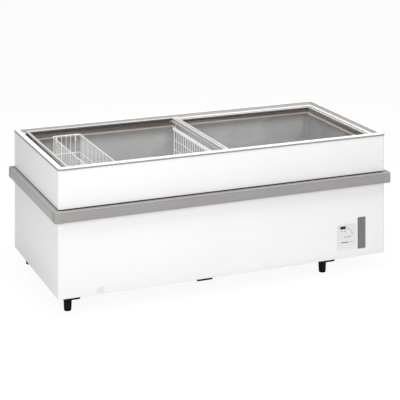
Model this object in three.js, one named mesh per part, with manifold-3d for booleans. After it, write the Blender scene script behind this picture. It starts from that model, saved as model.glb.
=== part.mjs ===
// A supermarket island chest freezer with two sliding glass lids. Millimetres, +Z up.
// The origin is on the floor under the middle of the cabinet. X runs along its length, and its front
// faces -Y.
import * as THREE from "three";
import { mergeVertices } from "three/addons/utils/BufferGeometryUtils.js";
import Module from "manifold-3d";

const wasm = await Module();
wasm.setup();

// ---- Driving dimensions ----

const BODY_LENGTH = 2040;
const BODY_DEPTH = 950;
const Z_SKIRT = 90; // lower edge of the painted body
const Z_TOP = 805; // outer edge of the rim
const SHEET = 1.2; // painted steel
const BODY_CORNER = 12; // vertical corner radius of the painted body
const GAP = 0.3; // assembly gap between neighbouring pieces

const HALF_X = BODY_LENGTH / 2;
const HALF_Y = BODY_DEPTH / 2;

// A depth d below is a distance inwards from the painted body's outer face, the same on all four sides.
const BUMPER_OUT = 28;
const BUMPER_BOTTOM = 515;
const BUMPER_TOP = 575;
const BUMPER_CORNER_LEG = 50; // length of a corner cap along each side
const BUMPER_CORNER_RADIUS = 14;
const LOWER_TOP = BUMPER_BOTTOM - 3;
const UPPER_BOTTOM = BUMPER_TOP + 6;
const WAIST_DEPTH = 6; // the steel band that the bumper is fixed to
const WAIST_INNER = WAIST_DEPTH + 2;
const WAIST_BOTTOM = BUMPER_BOTTOM - 10;

const RIM_WIDTH = 25;
const RIM_WALL = 2.5;
const RIM_BOTTOM = Z_TOP - 8; // lower edge of the rim's outer skirt
const RIM_CREST = Z_TOP + 4; // the rim rises inwards to this
const RAIL_DEPTH = RIM_WIDTH + 3; // outermost face of the stepped rail
const UPPER_STEP = 20; // widths of the rail's two ledges and of the lip inside them
const LOWER_STEP = 26;
const LIP_WIDTH = 19;
const LIP_DEPTH = RAIL_DEPTH + UPPER_STEP + LOWER_STEP + LIP_WIDTH;
const UPPER_LEDGE = 785.5;
const LOWER_LEDGE = 772;
const LIP_TOP = 753;
const LIP_BOTTOM = 749;

const LINER_DEPTH = 74; // outside face of the tank
const TANK_FLOOR = 177; // underside of the tank's floor
const STEP_X = 620; // where the floor rises over the machine compartment
const STEP_FLOOR = 440;
const MACHINE_X = 695;
const MACHINE_TOP = 360;

const LID_LIFT = 0.5; // lid runners above their ledge
const LID_HEIGHT = 11.5;
const GLASS = 4;
const SPLIT_X = 5; // where the two closed lids meet
const LID_OVERLAP = 28; // each lid passes the split by this much
const FLANGE_WIDTH = 4; // low outer flange that guides a runner on its ledge
const FLANGE_HEIGHT = 4;
const UPPER_RUNNER = FLANGE_WIDTH + 32; // widths of the two lids' runners
const LOWER_RUNNER = FLANGE_WIDTH + 20;
const END_BAR_WIDTH = 14;
const HANDLE_BAR_WIDTH = 42;
const HANDLE_RISE = 0.5; // the handle bars stand a little above the runners
const UPPER_RUN_GAP = 2; // between the rail's outer wall and the upper lid's runners
const UPPER_END_GAP = 35; // and its end bar
const LOWER_RUN_GAP = 2; // the same for the lower lid and the wall of its own ledge
const LOWER_END_GAP = 5;

const BEAM_X = [-936, -145, 645];
const BEAM_BOTTOM = 72;
const FOOT_OFFSET_X = -9; // from the middle of its beam
const FOOT_Y = HALF_Y - 75;

// ---- Materials ----

function material(hex, roughness, metalness) {
  return new THREE.MeshStandardMaterial({ color: hex, roughness, metalness });
}

const WHITE_PAINT = material(0xf4f4f4, 0.35, 0);
const WHITE_PLASTIC = material(0xf6f6f4, 0.4, 0);
const LINER_PAINT = material(0xdcdedf, 0.45, 0);
const GREY_ALUMINIUM = material(0xb9b7b4, 0.4, 0.8);
const RAIL_ALUMINIUM = material(0x9d9791, 0.4, 0.8);
const GREY_PLASTIC = material(0x9b9a98, 0.5, 0);
const BLACK_PLASTIC = material(0x111111, 0.5, 0);
const BLACK_STEEL = material(0x151515, 0.5, 0.3);
const GALVANISED = material(0xa8abad, 0.5, 0.7);
const COPPER = material(0xb56b43, 0.35, 0.9);
const FOAM = material(0xe2cf94, 0.9, 0);
const RUBBER = material(0x222222, 0.8, 0);
const CLEAR_GLASS = new THREE.MeshStandardMaterial({
  color: 0xdfe8e6,
  roughness: 0.05,
  transparent: true,
  opacity: 0.3,
});
const BASKET_WIRE = material(0xf7f7f7, 0.4, 0);

// ---- Geometry helpers ----

const radians = THREE.MathUtils.degToRad;

// One indexed closed surface from points and triangles: joins equal points, drops triangles that have
// collapsed and turns the surface outwards.
function closedSurface(points, triangles) {
  const soup = new THREE.BufferGeometry();
  soup.setAttribute("position", new THREE.Float32BufferAttribute(points.flat(), 3));
  soup.setIndex(triangles.flat());
  const joined = mergeVertices(soup, 1e-4);
  const position = joined.getAttribute("position");
  const [a, b, c] = [new THREE.Vector3(), new THREE.Vector3(), new THREE.Vector3()];
  const kept = [];
  let volume = 0;
  for (let i = 0; i < joined.index.count; i += 3) {
    const corner = [0, 1, 2].map((k) => joined.index.getX(i + k));
    if (new Set(corner).size < 3) continue;
    kept.push(corner);
    a.fromBufferAttribute(position, corner[0]);
    b.fromBufferAttribute(position, corner[1]);
    c.fromBufferAttribute(position, corner[2]);
    volume += a.dot(b.cross(c));
  }
  joined.setIndex((volume < 0 ? kept.map((t) => t.reverse()) : kept).flat());
  return joined;
}

// The outline turned anticlockwise.
function anticlockwise(outline) {
  const shape = outline.map(([u, v]) => new THREE.Vector2(u, v));
  return THREE.ShapeUtils.isClockWise(shape) ? [...outline].reverse() : outline;
}

// A surface through matching sections of one anticlockwise outline. An open one is capped at both ends.
function loft(outline, sections, closed) {
  const count = outline.length;
  const triangles = [];
  const spans = closed ? sections.length : sections.length - 1;
  for (let s = 0; s < spans; s++) {
    const here = s * count;
    const next = ((s + 1) % sections.length) * count;
    for (let i = 0; i < count; i++) {
      const j = (i + 1) % count;
      triangles.push([here + i, here + j, next + j], [here + i, next + j, next + i]);
    }
  }
  if (!closed) {
    const last = (sections.length - 1) * count;
    const flat = outline.map(([u, v]) => new THREE.Vector2(u, v));
    for (const cap of THREE.ShapeUtils.triangulateShape(flat, [])) {
      const [p, q, r] = THREE.ShapeUtils.area(cap.map((k) => flat[k])) < 0 ? cap.reverse() : cap;
      triangles.push([r, q, p], [last + p, last + q, last + r]);
    }
  }
  return closedSurface(sections.flat(), triangles);
}

// A ring round the whole cabinet. The profile is a list of [depth, z], and radius is the corner radius at
// depth 0.
function ring(profile, radius, arcSteps = 5) {
  const outline = anticlockwise(profile);
  const sections = [];
  const corners = [
    [1, -1, -90],
    [1, 1, 0],
    [-1, 1, 90],
    [-1, -1, 180],
  ];
  for (const [signX, signY, start] of corners) {
    for (let k = 0; k <= arcSteps; k++) {
      const angle = radians(start + (90 * k) / arcSteps);
      sections.push(
        outline.map(([depth, z]) => {
          const centre = Math.max(depth, radius);
          const round = Math.max(radius - depth, 0);
          const x = signX * (HALF_X - centre) + round * Math.cos(angle);
          const y = signY * (HALF_Y - centre) + round * Math.sin(angle);
          return [x, y, z];
        }),
      );
    }
  }
  return loft(outline, sections, true);
}

// A ring of rectangular section.
function bandRing(depth0, depth1, z0, z1, radius) {
  const profile = [
    [depth0, z0],
    [depth0, z1],
    [depth1, z1],
    [depth1, z0],
  ];
  return ring(profile, radius);
}

const SIDE_ANGLE = { front: 0, right: 90, back: 180, left: 270 };

// A straight bar along one side, made as if at the front. halfRun gives half its length at a depth.
function sideBar(profile, side, halfRun) {
  const outline = anticlockwise(profile);
  const alongX = side === "front" || side === "back";
  const [run, out] = alongX ? [HALF_X, HALF_Y] : [HALF_Y, HALF_X];
  const sections = [-1, 1].map((end) =>
    outline.map(([depth, z]) => [end * halfRun(run, depth), depth - out, z]),
  );
  return loft(outline, sections, false);
}

function box(x0, x1, y0, y1, z0, z1) {
  const made = new THREE.BoxGeometry(x1 - x0, y1 - y0, z1 - z0);
  return made.translate((x0 + x1) / 2, (y0 + y1) / 2, (z0 + z1) / 2);
}

// A box as deep as `depth` on all four sides of the cabinet.
function insetBox(depth, z0, z1) {
  return box(depth - HALF_X, HALF_X - depth, depth - HALF_Y, HALF_Y - depth, z0, z1);
}

// The same with its vertical edges rounded, concentric with the corners of the painted body.
function roundedBlock(depth, z0, z1) {
  const radius = BODY_CORNER - depth;
  const sections = [z0, z1].map((z) => {
    const points = [];
    for (const [signX, signY, start] of [[1, 1, 0], [-1, 1, 90], [-1, -1, 180], [1, -1, 270]]) {
      for (let k = 0; k <= 5; k++) {
        const angle = radians(start + 18 * k);
        const x = signX * (HALF_X - BODY_CORNER) + radius * Math.cos(angle);
        points.push([x, signY * (HALF_Y - BODY_CORNER) + radius * Math.sin(angle), z]);
      }
    }
    return points;
  });
  return loft(sections[0].map(([x, y]) => [x, y]), sections, false);
}

// A prism: an outline of [u, v] points, lying in the XZ plane, run from y0 to y1.
function prismAlongY(outline, y0, y1) {
  const shape = anticlockwise(outline);
  const sections = [y0, y1].map((y) => shape.map(([x, z]) => [x, y, z]));
  return loft(shape, sections, false);
}

// The same for an outline in the YZ plane, run from x0 to x1.
function prismAlongX(outline, x0, x1) {
  const shape = anticlockwise(outline);
  const sections = [x0, x1].map((x) => shape.map(([y, z]) => [x, y, z]));
  return loft(shape, sections, false);
}

// A turned piece about +Z. The profile is a list of [radius, z] that starts and ends on the axis.
function turned(profile, segments = 20) {
  const points = profile.map(([r, z]) => new THREE.Vector2(r, z));
  return new THREE.LatheGeometry(points, segments).rotateX(Math.PI / 2);
}

// A plain cylinder along Y from y0 to y1.
function cylinderAlongY(radius, x, z, y0, y1, segments = 20) {
  const made = new THREE.CylinderGeometry(radius, radius, y1 - y0, segments);
  return made.translate(x, (y0 + y1) / 2, z);
}

function cylinderAlongZ(radius, x, y, z0, z1, segments = 20) {
  const made = new THREE.CylinderGeometry(radius, radius, z1 - z0, segments);
  return made.rotateX(Math.PI / 2).translate(x, y, (z0 + z1) / 2);
}

// A round tube through a list of points, mitred at each bend.
function tube(path, radius, sides = 6) {
  const points = path.map((p) => new THREE.Vector3(...p));
  const along = points.slice(1).map((p, i) => p.clone().sub(points[i]).normalize());
  const up = Math.abs(along[0].z) < 0.9 ? new THREE.Vector3(0, 0, 1) : new THREE.Vector3(1, 0, 0);
  const first = new THREE.Vector3().crossVectors(along[0], up).normalize();
  const second = new THREE.Vector3().crossVectors(along[0], first);
  const outline = [];
  for (let k = 0; k < sides; k++) {
    const angle = (2 * Math.PI * k) / sides;
    outline.push([radius * Math.cos(angle), radius * Math.sin(angle)]);
  }
  let frame = outline.map(([u, v]) => first.clone().multiplyScalar(u).addScaledVector(second, v));
  const sections = points.map((point, i) => {
    const arriving = along[Math.max(i - 1, 0)];
    const leaving = along[Math.min(i, along.length - 1)];
    const mitre = arriving.clone().add(leaving).normalize();
    const section = frame.map((offset) => {
      const slide = -offset.dot(mitre) / arriving.dot(mitre);
      return offset.clone().addScaledVector(arriving, slide).add(point).toArray();
    });
    const turn = new THREE.Quaternion().setFromUnitVectors(arriving, leaving);
    frame = frame.map((offset) => offset.clone().applyQuaternion(turn));
    return section;
  });
  return loft(outline, sections, false);
}

// ---- Joining and cutting ----

function solid(geometry) {
  const bare = new THREE.BufferGeometry();
  bare.setAttribute("position", geometry.getAttribute("position").clone());
  if (geometry.index) bare.setIndex(geometry.index.clone());
  const merged = mergeVertices(bare, 1e-4);
  const vertProperties = merged.getAttribute("position").array;
  const triVerts = new Uint32Array(merged.index.array);
  return new wasm.Manifold(new wasm.Mesh({ numProp: 3, vertProperties, triVerts }));
}

function surface(made) {
  const mesh = made.getMesh();
  const geometry = new THREE.BufferGeometry();
  geometry.setAttribute("position", new THREE.BufferAttribute(mesh.vertProperties, 3));
  geometry.setIndex(new THREE.BufferAttribute(mesh.triVerts, 1));
  geometry.computeVertexNormals();
  return geometry;
}

// The first geometry with the others joined on.
function joined(first, ...others) {
  return surface(others.reduce((whole, other) => whole.add(solid(other)), solid(first)));
}

// The first geometry with the others cut away.
function cut(first, ...others) {
  return surface(others.reduce((whole, other) => whole.subtract(solid(other)), solid(first)));
}

// ---- The assembly ----

const freezer = new THREE.Group();
const groups = {};

function group(name) {
  if (!groups[name]) {
    groups[name] = new THREE.Group();
    freezer.add(groups[name]);
  }
  return groups[name];
}

function addPart(parent, name, geometry, finish) {
  if (!geometry.getAttribute("normal")) geometry.computeVertexNormals();
  const mesh = new THREE.Mesh(geometry, finish);
  mesh.name = name;
  parent.add(mesh);
  return mesh;
}

// ---- Cabinet: painted shells, waist band, base pan, insulation and tank ----

const CONTROL = { x: 755, z: 221, width: 118, height: 138 };
const GRILLE = { x: 861, z: 228, width: 53, height: 187 };
const DRAIN = { x: -780, y: -330, z: 118 };
const SERVICE = { x0: 720, x1: 980, z0: 125, z1: 335 }; // rear opening of the machine compartment
const CORD = { x: 1003, z: 112 };
const PANEL_LAND = 6; // how much a cover overlaps the edge of its opening

function windowCut(centre, y0, y1) {
  const halfWidth = centre.width / 2 - PANEL_LAND;
  const halfHeight = centre.height / 2 - PANEL_LAND;
  return box(
    centre.x - halfWidth,
    centre.x + halfWidth,
    y0,
    y1,
    centre.z - halfHeight,
    centre.z + halfHeight,
  );
}

function buildShells(cabinet) {
  const hem = 18;
  const lower = ring(
    [
      [0, Z_SKIRT],
      [0, LOWER_TOP],
      [SHEET, LOWER_TOP],
      [SHEET, Z_SKIRT + SHEET],
      [hem, Z_SKIRT + SHEET],
      [hem, Z_SKIRT],
    ],
    BODY_CORNER,
  );
  const front = [-HALF_Y - 5, -HALF_Y + 5];
  const back = [HALF_Y - 5, HALF_Y + 5];
  const lowerCut = cut(
    lower,
    windowCut(CONTROL, ...front),
    windowCut(GRILLE, ...front),
    cylinderAlongY(15, DRAIN.x, DRAIN.z, ...front),
    box(SERVICE.x0, SERVICE.x1, ...back, SERVICE.z0, SERVICE.z1),
    cylinderAlongY(7, CORD.x, CORD.z, ...back, 12),
  );
  addPart(cabinet, "lower_shell", lowerCut, WHITE_PAINT);

  const upperTop = RIM_BOTTOM - GAP;
  const upper = ring(
    [
      [5.5, UPPER_BOTTOM],
      [2, UPPER_BOTTOM + 1.5],
      [0.5, UPPER_BOTTOM + 4],
      [0, UPPER_BOTTOM + 7],
      [0, upperTop],
      [SHEET, upperTop],
      [SHEET, UPPER_BOTTOM + 7],
      [1.6, UPPER_BOTTOM + 4.6],
      [2.8, UPPER_BOTTOM + 2.6],
      [5.5, UPPER_BOTTOM + SHEET],
    ],
    BODY_CORNER,
  );
  addPart(cabinet, "upper_shell", upper, WHITE_PAINT);

  const band = ring(
    [
      [WAIST_DEPTH, WAIST_BOTTOM],
      [WAIST_DEPTH, UPPER_BOTTOM - 1],
      [WAIST_INNER, UPPER_BOTTOM - 1],
      [WAIST_INNER, WAIST_BOTTOM],
    ],
    BODY_CORNER,
  );
  addPart(cabinet, "waist_band", band, GALVANISED);

  const panInset = hem + 0.5;
  const slots = [];
  const [firstSlot, slotPitch, slotWidth] = [740, 44, 14];
  for (let k = 0; k < 6; k++) {
    const x = firstSlot + slotPitch * k;
    slots.push(box(x, x + slotWidth, -60, 200, Z_SKIRT - 5, Z_SKIRT + 5));
  }
  const pan = insetBox(panInset, Z_SKIRT, Z_SKIRT + 2);
  addPart(cabinet, "base_pan", cut(pan, ...slots), GALVANISED);
}

// Grooves of the evaporator, level by level, and the shaft its two ends run down.
const COIL_LEVELS = [470, 530, 590, 650];
const COIL_DEPTH = LINER_DEPTH - 5.5;
const COIL_RADIUS = 4;
const COIL_Y = [60, 90]; // where the two ends of the coil drop into the machine compartment

function buildInsulation(cabinet) {
  const shellGap = SHEET + GAP;
  const foamBottom = Z_SKIRT + 3;
  const block = roundedBlock(shellGap, foamBottom, Z_TOP - 25);
  const tank = LINER_DEPTH - GAP;
  const cuts = [
    // the tank, with its raised floor
    box(tank - HALF_X, STEP_X + GAP, tank - HALF_Y, HALF_Y - tank, TANK_FLOOR - GAP, Z_TOP),
    insetBox(tank, STEP_FLOOR - GAP, Z_TOP),
    // room for the rails
    insetBox(RAIL_DEPTH - 5, LIP_BOTTOM - 1, Z_TOP),
    // the machine compartment
    box(MACHINE_X, HALF_X, -HALF_Y, HALF_Y, 0, MACHINE_TOP),
    // the waist band and the rolled edge of the upper shell
    bandRing(-5, WAIST_INNER + GAP, WAIST_BOTTOM - 2, UPPER_BOTTOM + 8, BODY_CORNER),
    // the drain's two passages
    box(DRAIN.x - 14, DRAIN.x + 14, -HALF_Y, DRAIN.y + 14, DRAIN.z - 14, DRAIN.z + 14),
    box(DRAIN.x - 14, DRAIN.x + 14, DRAIN.y - 14, DRAIN.y + 14, DRAIN.z, TANK_FLOOR + 5),
    // the coil's shafts
    ...COIL_Y.map((y) =>
      box(HALF_X - LINER_DEPTH, HALF_X - COIL_DEPTH + 5, y - 5, y + 5, MACHINE_TOP - 5, COIL_LEVELS[3]),
    ),
  ];
  for (const z of COIL_LEVELS) {
    cuts.push(bandRing(COIL_DEPTH - 5, LINER_DEPTH + 2, z - 5, z + 5, 0));
  }
  addPart(cabinet, "insulation", cut(block, ...cuts), FOAM);
}

function buildLiner(cabinet) {
  const outer = LINER_DEPTH;
  const inner = LINER_DEPTH + SHEET;
  const linerTop = LIP_BOTTOM - 0.5;
  const outside = joined(
    box(outer - HALF_X, STEP_X, outer - HALF_Y, HALF_Y - outer, TANK_FLOOR, linerTop),
    insetBox(outer, STEP_FLOOR, linerTop),
  );
  const liner = cut(
    outside,
    box(inner - HALF_X, STEP_X - SHEET, inner - HALF_Y, HALF_Y - inner, TANK_FLOOR + SHEET, Z_TOP),
    insetBox(inner, STEP_FLOOR + SHEET, Z_TOP),
    cylinderAlongZ(9, DRAIN.x, DRAIN.y, TANK_FLOOR - 5, TANK_FLOOR + 5, 12),
  );
  addPart(cabinet, "inner_liner", liner, LINER_PAINT);
}

// ---- Understructure: three cross beams and four levelling feet ----

function buildBeam(parent, name, x, hasFeet) {
  const wall = 2.5;
  const flange = 64;
  const shoulder = 50;
  const web = 45;
  const length = HALF_Y - 22;
  const right = [
    [flange, Z_SKIRT],
    [flange, Z_SKIRT - wall],
    [shoulder, Z_SKIRT - wall],
    [web, BEAM_BOTTOM],
  ];
  const inside = [
    [web - wall, BEAM_BOTTOM + wall],
    [shoulder - wall, Z_SKIRT],
  ];
  const mirror = (list) => list.map(([u, v]) => [-u, v]).reverse();
  const section = [...right, ...mirror(right), ...mirror(inside), ...inside];
  const hat = prismAlongY(section, -length, length);
  const plate = [
    [shoulder - 1, Z_SKIRT],
    [web - 1, BEAM_BOTTOM + 1],
    [1 - web, BEAM_BOTTOM + 1],
    [1 - shoulder, Z_SKIRT],
  ];
  const pieces = [prismAlongY(plate, -length, -length + wall), prismAlongY(plate, length - wall, length)];
  const holes = [];
  if (hasFeet) {
    for (const y of [-FOOT_Y, FOOT_Y]) {
      pieces.push(cylinderAlongZ(11, FOOT_OFFSET_X, y, BEAM_BOTTOM + 1, BEAM_BOTTOM + 14, 6));
      holes.push(cylinderAlongZ(5.5, FOOT_OFFSET_X, y, BEAM_BOTTOM - 5, Z_SKIRT, 16));
    }
  }
  const whole = joined(hat, ...pieces);
  const beam = holes.length ? cut(whole, ...holes) : whole;
  addPart(parent, name, beam, BLACK_STEEL).position.x = x;
}

function buildFoot(parent, name, x, y) {
  const top = BEAM_BOTTOM - 0.5;
  const studTop = Z_SKIRT - 5;
  const foot = turned([
    [0, 0],
    [18.5, 0],
    [20.5, 3],
    [24, top - 3],
    [23, top],
    [5, top],
    [5, studTop],
    [0, studTop],
  ]);
  addPart(parent, name, foot, BLACK_PLASTIC).position.set(x, y, 0);
}

// ---- Bumper ----

// A channel open towards the body, with a shallow groove along its top. `out` is how far it stands out.
function bumperProfile(out, grow) {
  const wall = 2.5;
  const inner = WAIST_DEPTH - GAP;
  const top = BUMPER_TOP + grow;
  const bottom = BUMPER_BOTTOM - grow;
  const outer = -out - grow;
  return [
    [inner, top],
    [-4, top],
    [-5, top - 1],
    [-8, top - 1],
    [-9, top],
    [outer + 4, top],
    [outer + 1.2, top - 1.2],
    [outer, top - 4],
    [outer, bottom + 4],
    [outer + 1.2, bottom + 1.2],
    [outer + 4, bottom],
    [inner, bottom],
    [inner, bottom + wall],
    [outer + wall, bottom + wall + 1],
    [outer + wall, top - wall - 1],
    [inner, top - wall],
  ];
}

function buildBumper(parent) {
  const legEnd = BUMPER_OUT - BUMPER_CORNER_LEG;
  for (const side of Object.keys(SIDE_ANGLE)) {
    const halfRun = (run) => run + legEnd - GAP;
    const bar = sideBar(bumperProfile(BUMPER_OUT, 0), side, halfRun);
    addPart(parent, `bumper_${side}`, bar, GREY_ALUMINIUM).rotation.z = radians(SIDE_ANGLE[side]);
  }
  const proud = 1;
  const whole = solid(
    ring(bumperProfile(BUMPER_OUT, proud), BUMPER_CORNER_RADIUS - BUMPER_OUT - proud, 6),
  );
  for (const [signX, across] of [[-1, "left"], [1, "right"]]) {
    for (const [signY, along] of [[-1, "front"], [1, "back"]]) {
      const x = [HALF_X + legEnd, HALF_X + 2 * BUMPER_OUT].map((v) => signX * v).sort((a, b) => a - b);
      const y = [HALF_Y + legEnd, HALF_Y + 2 * BUMPER_OUT].map((v) => signY * v).sort((a, b) => a - b);
      const corner = whole.intersect(solid(box(...x, ...y, 0, Z_TOP)));
      addPart(parent, `bumper_corner_${along}_${across}`, surface(corner), GREY_PLASTIC);
    }
  }
}

// ---- Rim, trim and lid rails ----

function buildRim(parent) {
  const inside = RIM_WIDTH - RIM_WALL;
  const cap = ring(
    [
      [0, RIM_BOTTOM],
      [0, Z_TOP - 2],
      [0.8, Z_TOP],
      [5, Z_TOP + 2],
      [12, Z_TOP + 3.3],
      [RIM_WIDTH - 4, RIM_CREST],
      [RIM_WIDTH - 1, RIM_CREST - 0.6],
      [RIM_WIDTH, RIM_CREST - 2.5],
      [RIM_WIDTH, UPPER_LEDGE + 1],
      [inside, UPPER_LEDGE + 1],
      [inside, RIM_CREST - RIM_WALL - 0.5],
      [12, Z_TOP + 0.6],
      [5, Z_TOP - 0.8],
      [RIM_WALL, Z_TOP - RIM_WALL],
      [RIM_WALL, RIM_BOTTOM],
    ],
    BODY_CORNER,
  );
  addPart(parent, "rim_cap", cap, WHITE_PLASTIC);
  const trim = ring(
    [
      [-GAP, RIM_BOTTOM - 3],
      [-2, RIM_BOTTOM - 2.4],
      [-2.8, RIM_BOTTOM - 1],
      [-2.8, Z_TOP - 4],
      [-2, Z_TOP - 2.6],
      [-GAP, Z_TOP - 2],
    ],
    BODY_CORNER,
  );
  addPart(parent, "rim_trim", trim, GREY_ALUMINIUM);
}

// The stepped lid rail. The upper lid runs on the outer ledge and the lower lid on the inner one.
function buildRails(parent) {
  const wall = 2.5;
  const outer = RAIL_DEPTH;
  const middle = outer + UPPER_STEP;
  const inner = middle + LOWER_STEP;
  const profile = [
    [outer, RIM_CREST - 2],
    [outer, UPPER_LEDGE],
    [middle, UPPER_LEDGE],
    [middle, LOWER_LEDGE],
    [inner, LOWER_LEDGE],
    [inner, LIP_TOP],
    [LIP_DEPTH, LIP_TOP],
    [LIP_DEPTH, LIP_BOTTOM],
    [inner - wall, LIP_BOTTOM],
    [inner - wall, LOWER_LEDGE - wall],
    [middle - wall, LOWER_LEDGE - wall],
    [middle - wall, UPPER_LEDGE - wall],
    [outer - wall, UPPER_LEDGE - wall],
    [outer - wall, RIM_CREST - 2],
  ];
  for (const side of Object.keys(SIDE_ANGLE)) {
    const halfRun = (run, depth) => run - depth - GAP;
    const rail = sideBar(profile, side, halfRun);
    addPart(parent, `rail_${side}`, rail, RAIL_ALUMINIUM).rotation.z = radians(SIDE_ANGLE[side]);
  }
}

// ---- Lids ----

// One framed glass lid: two runners, a narrow end bar, a wide handle bar at the middle of the cabinet,
// and the pane. sign is -1 for the left lid and 1 for the right one. endDepth is where its end bar starts.
function buildLid(name, sign, ledge, depth, endDepth, runnerWidth) {
  const lid = group(name);
  const z0 = ledge + LID_LIFT;
  const z1 = z0 + LID_HEIGHT;
  const glass0 = z0 + 4;
  const glass1 = glass0 + GLASS;
  const endX = sign * (HALF_X - endDepth);
  const handleX = SPLIT_X - sign * LID_OVERLAP;
  const [x0, x1] = [endX, handleX].sort((a, b) => a - b);
  const grooveDepth = 8;
  const runner = [
    [depth, z0],
    [depth, z0 + FLANGE_HEIGHT],
    [depth + FLANGE_WIDTH, z0 + FLANGE_HEIGHT],
    [depth + FLANGE_WIDTH, z1 - 1.5],
    [depth + FLANGE_WIDTH + 1.5, z1],
    [depth + runnerWidth - 3, z1],
    [depth + runnerWidth, z1 - 2.5],
    [depth + runnerWidth, glass1 + GAP],
    [depth + runnerWidth - grooveDepth, glass1 + GAP],
    [depth + runnerWidth - grooveDepth, glass0 - GAP],
    [depth + runnerWidth, glass0 - GAP],
    [depth + runnerWidth, z0],
  ];
  for (const [side, toY] of [["front", (d) => d - HALF_Y], ["back", (d) => HALF_Y - d]]) {
    const outline = runner.map(([d, z]) => [toY(d), z]);
    addPart(lid, `${name}_${side}_runner`, prismAlongX(outline, x0, x1), WHITE_PLASTIC);
  }
  const barY = HALF_Y - depth - runnerWidth - GAP;
  const bar = (from, width, direction, top) => {
    const across = (u) => from + direction * u;
    const outline = [
      [across(0), z0],
      [across(0), top - 1.5],
      [across(1.5), top],
      [across(width - 3), top],
      [across(width), top - 2.5],
      [across(width), glass1 + GAP],
      [across(width - grooveDepth), glass1 + GAP],
      [across(width - grooveDepth), glass0 - GAP],
      [across(width), glass0 - GAP],
      [across(width), z0],
    ];
    return prismAlongY(outline, -barY, barY);
  };
  addPart(lid, `${name}_end_bar`, bar(endX, END_BAR_WIDTH, -sign, z1), WHITE_PLASTIC);
  addPart(lid, `${name}_handle_bar`, bar(handleX, HANDLE_BAR_WIDTH, sign, z1 + HANDLE_RISE), WHITE_PLASTIC);

  const paneIn = grooveDepth - 1;
  const paneX = [endX - sign * (END_BAR_WIDTH - paneIn), handleX + sign * (HANDLE_BAR_WIDTH - paneIn)];
  paneX.sort((a, b) => a - b);
  const paneY = HALF_Y - depth - runnerWidth + paneIn;
  addPart(lid, `${name}_glass`, box(...paneX, -paneY, paneY, glass0, glass1), CLEAR_GLASS);
  return lid;
}

function buildLids() {
  const upperDepth = RAIL_DEPTH + UPPER_RUN_GAP;
  const leftLid = buildLid("left_lid", -1, UPPER_LEDGE, upperDepth, RAIL_DEPTH + UPPER_END_GAP, UPPER_RUNNER);
  const rightTop = LOWER_LEDGE + LID_LIFT + LID_HEIGHT + HANDLE_RISE;
  const sealY = HALF_Y - LIP_DEPTH;
  const seal = box(SPLIT_X - 5, SPLIT_X + 5, -sealY, sealY, rightTop + GAP, UPPER_LEDGE + LID_LIFT);
  addPart(leftLid, "lid_seal_strip", seal, RUBBER);
  const step = RAIL_DEPTH + UPPER_STEP;
  buildLid("right_lid", 1, LOWER_LEDGE, step + LOWER_RUN_GAP, step + LOWER_END_GAP, LOWER_RUNNER);
}

// ---- Basket and divider, both hung on the lips of the front and back rails ----

const WIRE = 4;
const HANG_Y = HALF_Y - LIP_DEPTH + 5; // how far the hooks reach over the lips
const HUNG_BODY_Y = HALF_Y - LIP_DEPTH - 3;
const HOOK_Z = LIP_TOP + GAP;
const BASKET_X = [-811, -631];
const BASKET_BOTTOM = 540;
const BASKET_RISE = 13; // its top wire above the lip
const DIVIDER_X = -10;
const TUBE_RADIUS = 11;
const TUBE_Z = LIP_BOTTOM - 14;

// The low and high edges of the openings between evenly spaced bars, from u0 to u1.
function spans(u0, u1, count) {
  const pitch = (u1 - u0 - WIRE) / count;
  return Array.from({ length: count }, (_, k) => [u0 + WIRE + pitch * k, u0 + pitch * (k + 1)]);
}

function buildBasket() {
  const [x0, x1] = BASKET_X;
  const [y0, y1] = [-HUNG_BODY_Y, HUNG_BODY_Y];
  const [bottom, top] = [BASKET_BOTTOM, LIP_TOP + BASKET_RISE];
  const hookInset = 10;
  const shell = joined(
    box(x0, x1, y0, y1, bottom, top),
    box(x0 + hookInset, x1 - hookInset, -HANG_Y, HANG_Y, HOOK_Z, HOOK_Z + WIRE),
  );
  const hollow = box(x0 + WIRE, x1 - WIRE, y0 + WIRE, y1 - WIRE, bottom + WIRE, top + 5);
  const openings = [];
  const rows = spans(bottom, HOOK_Z, 6);
  const lengthwise = spans(y0, y1, 24);
  const crosswise = spans(x0, x1, 6);
  for (const [a, b] of lengthwise) {
    for (const [low, high] of rows) openings.push(box(x0 - WIRE, x1 + WIRE, a, b, low, high));
    for (const [c, d] of crosswise) openings.push(box(c, d, a, b, bottom - WIRE, bottom + 2 * WIRE));
  }
  for (const [c, d] of crosswise) {
    for (const [low, high] of rows) openings.push(box(c, d, y0 - WIRE, y1 + WIRE, low, high));
  }
  const basket = cut(shell, hollow, ...openings);
  addPart(group("basket"), "wire_basket", basket, BASKET_WIRE);
}

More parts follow.
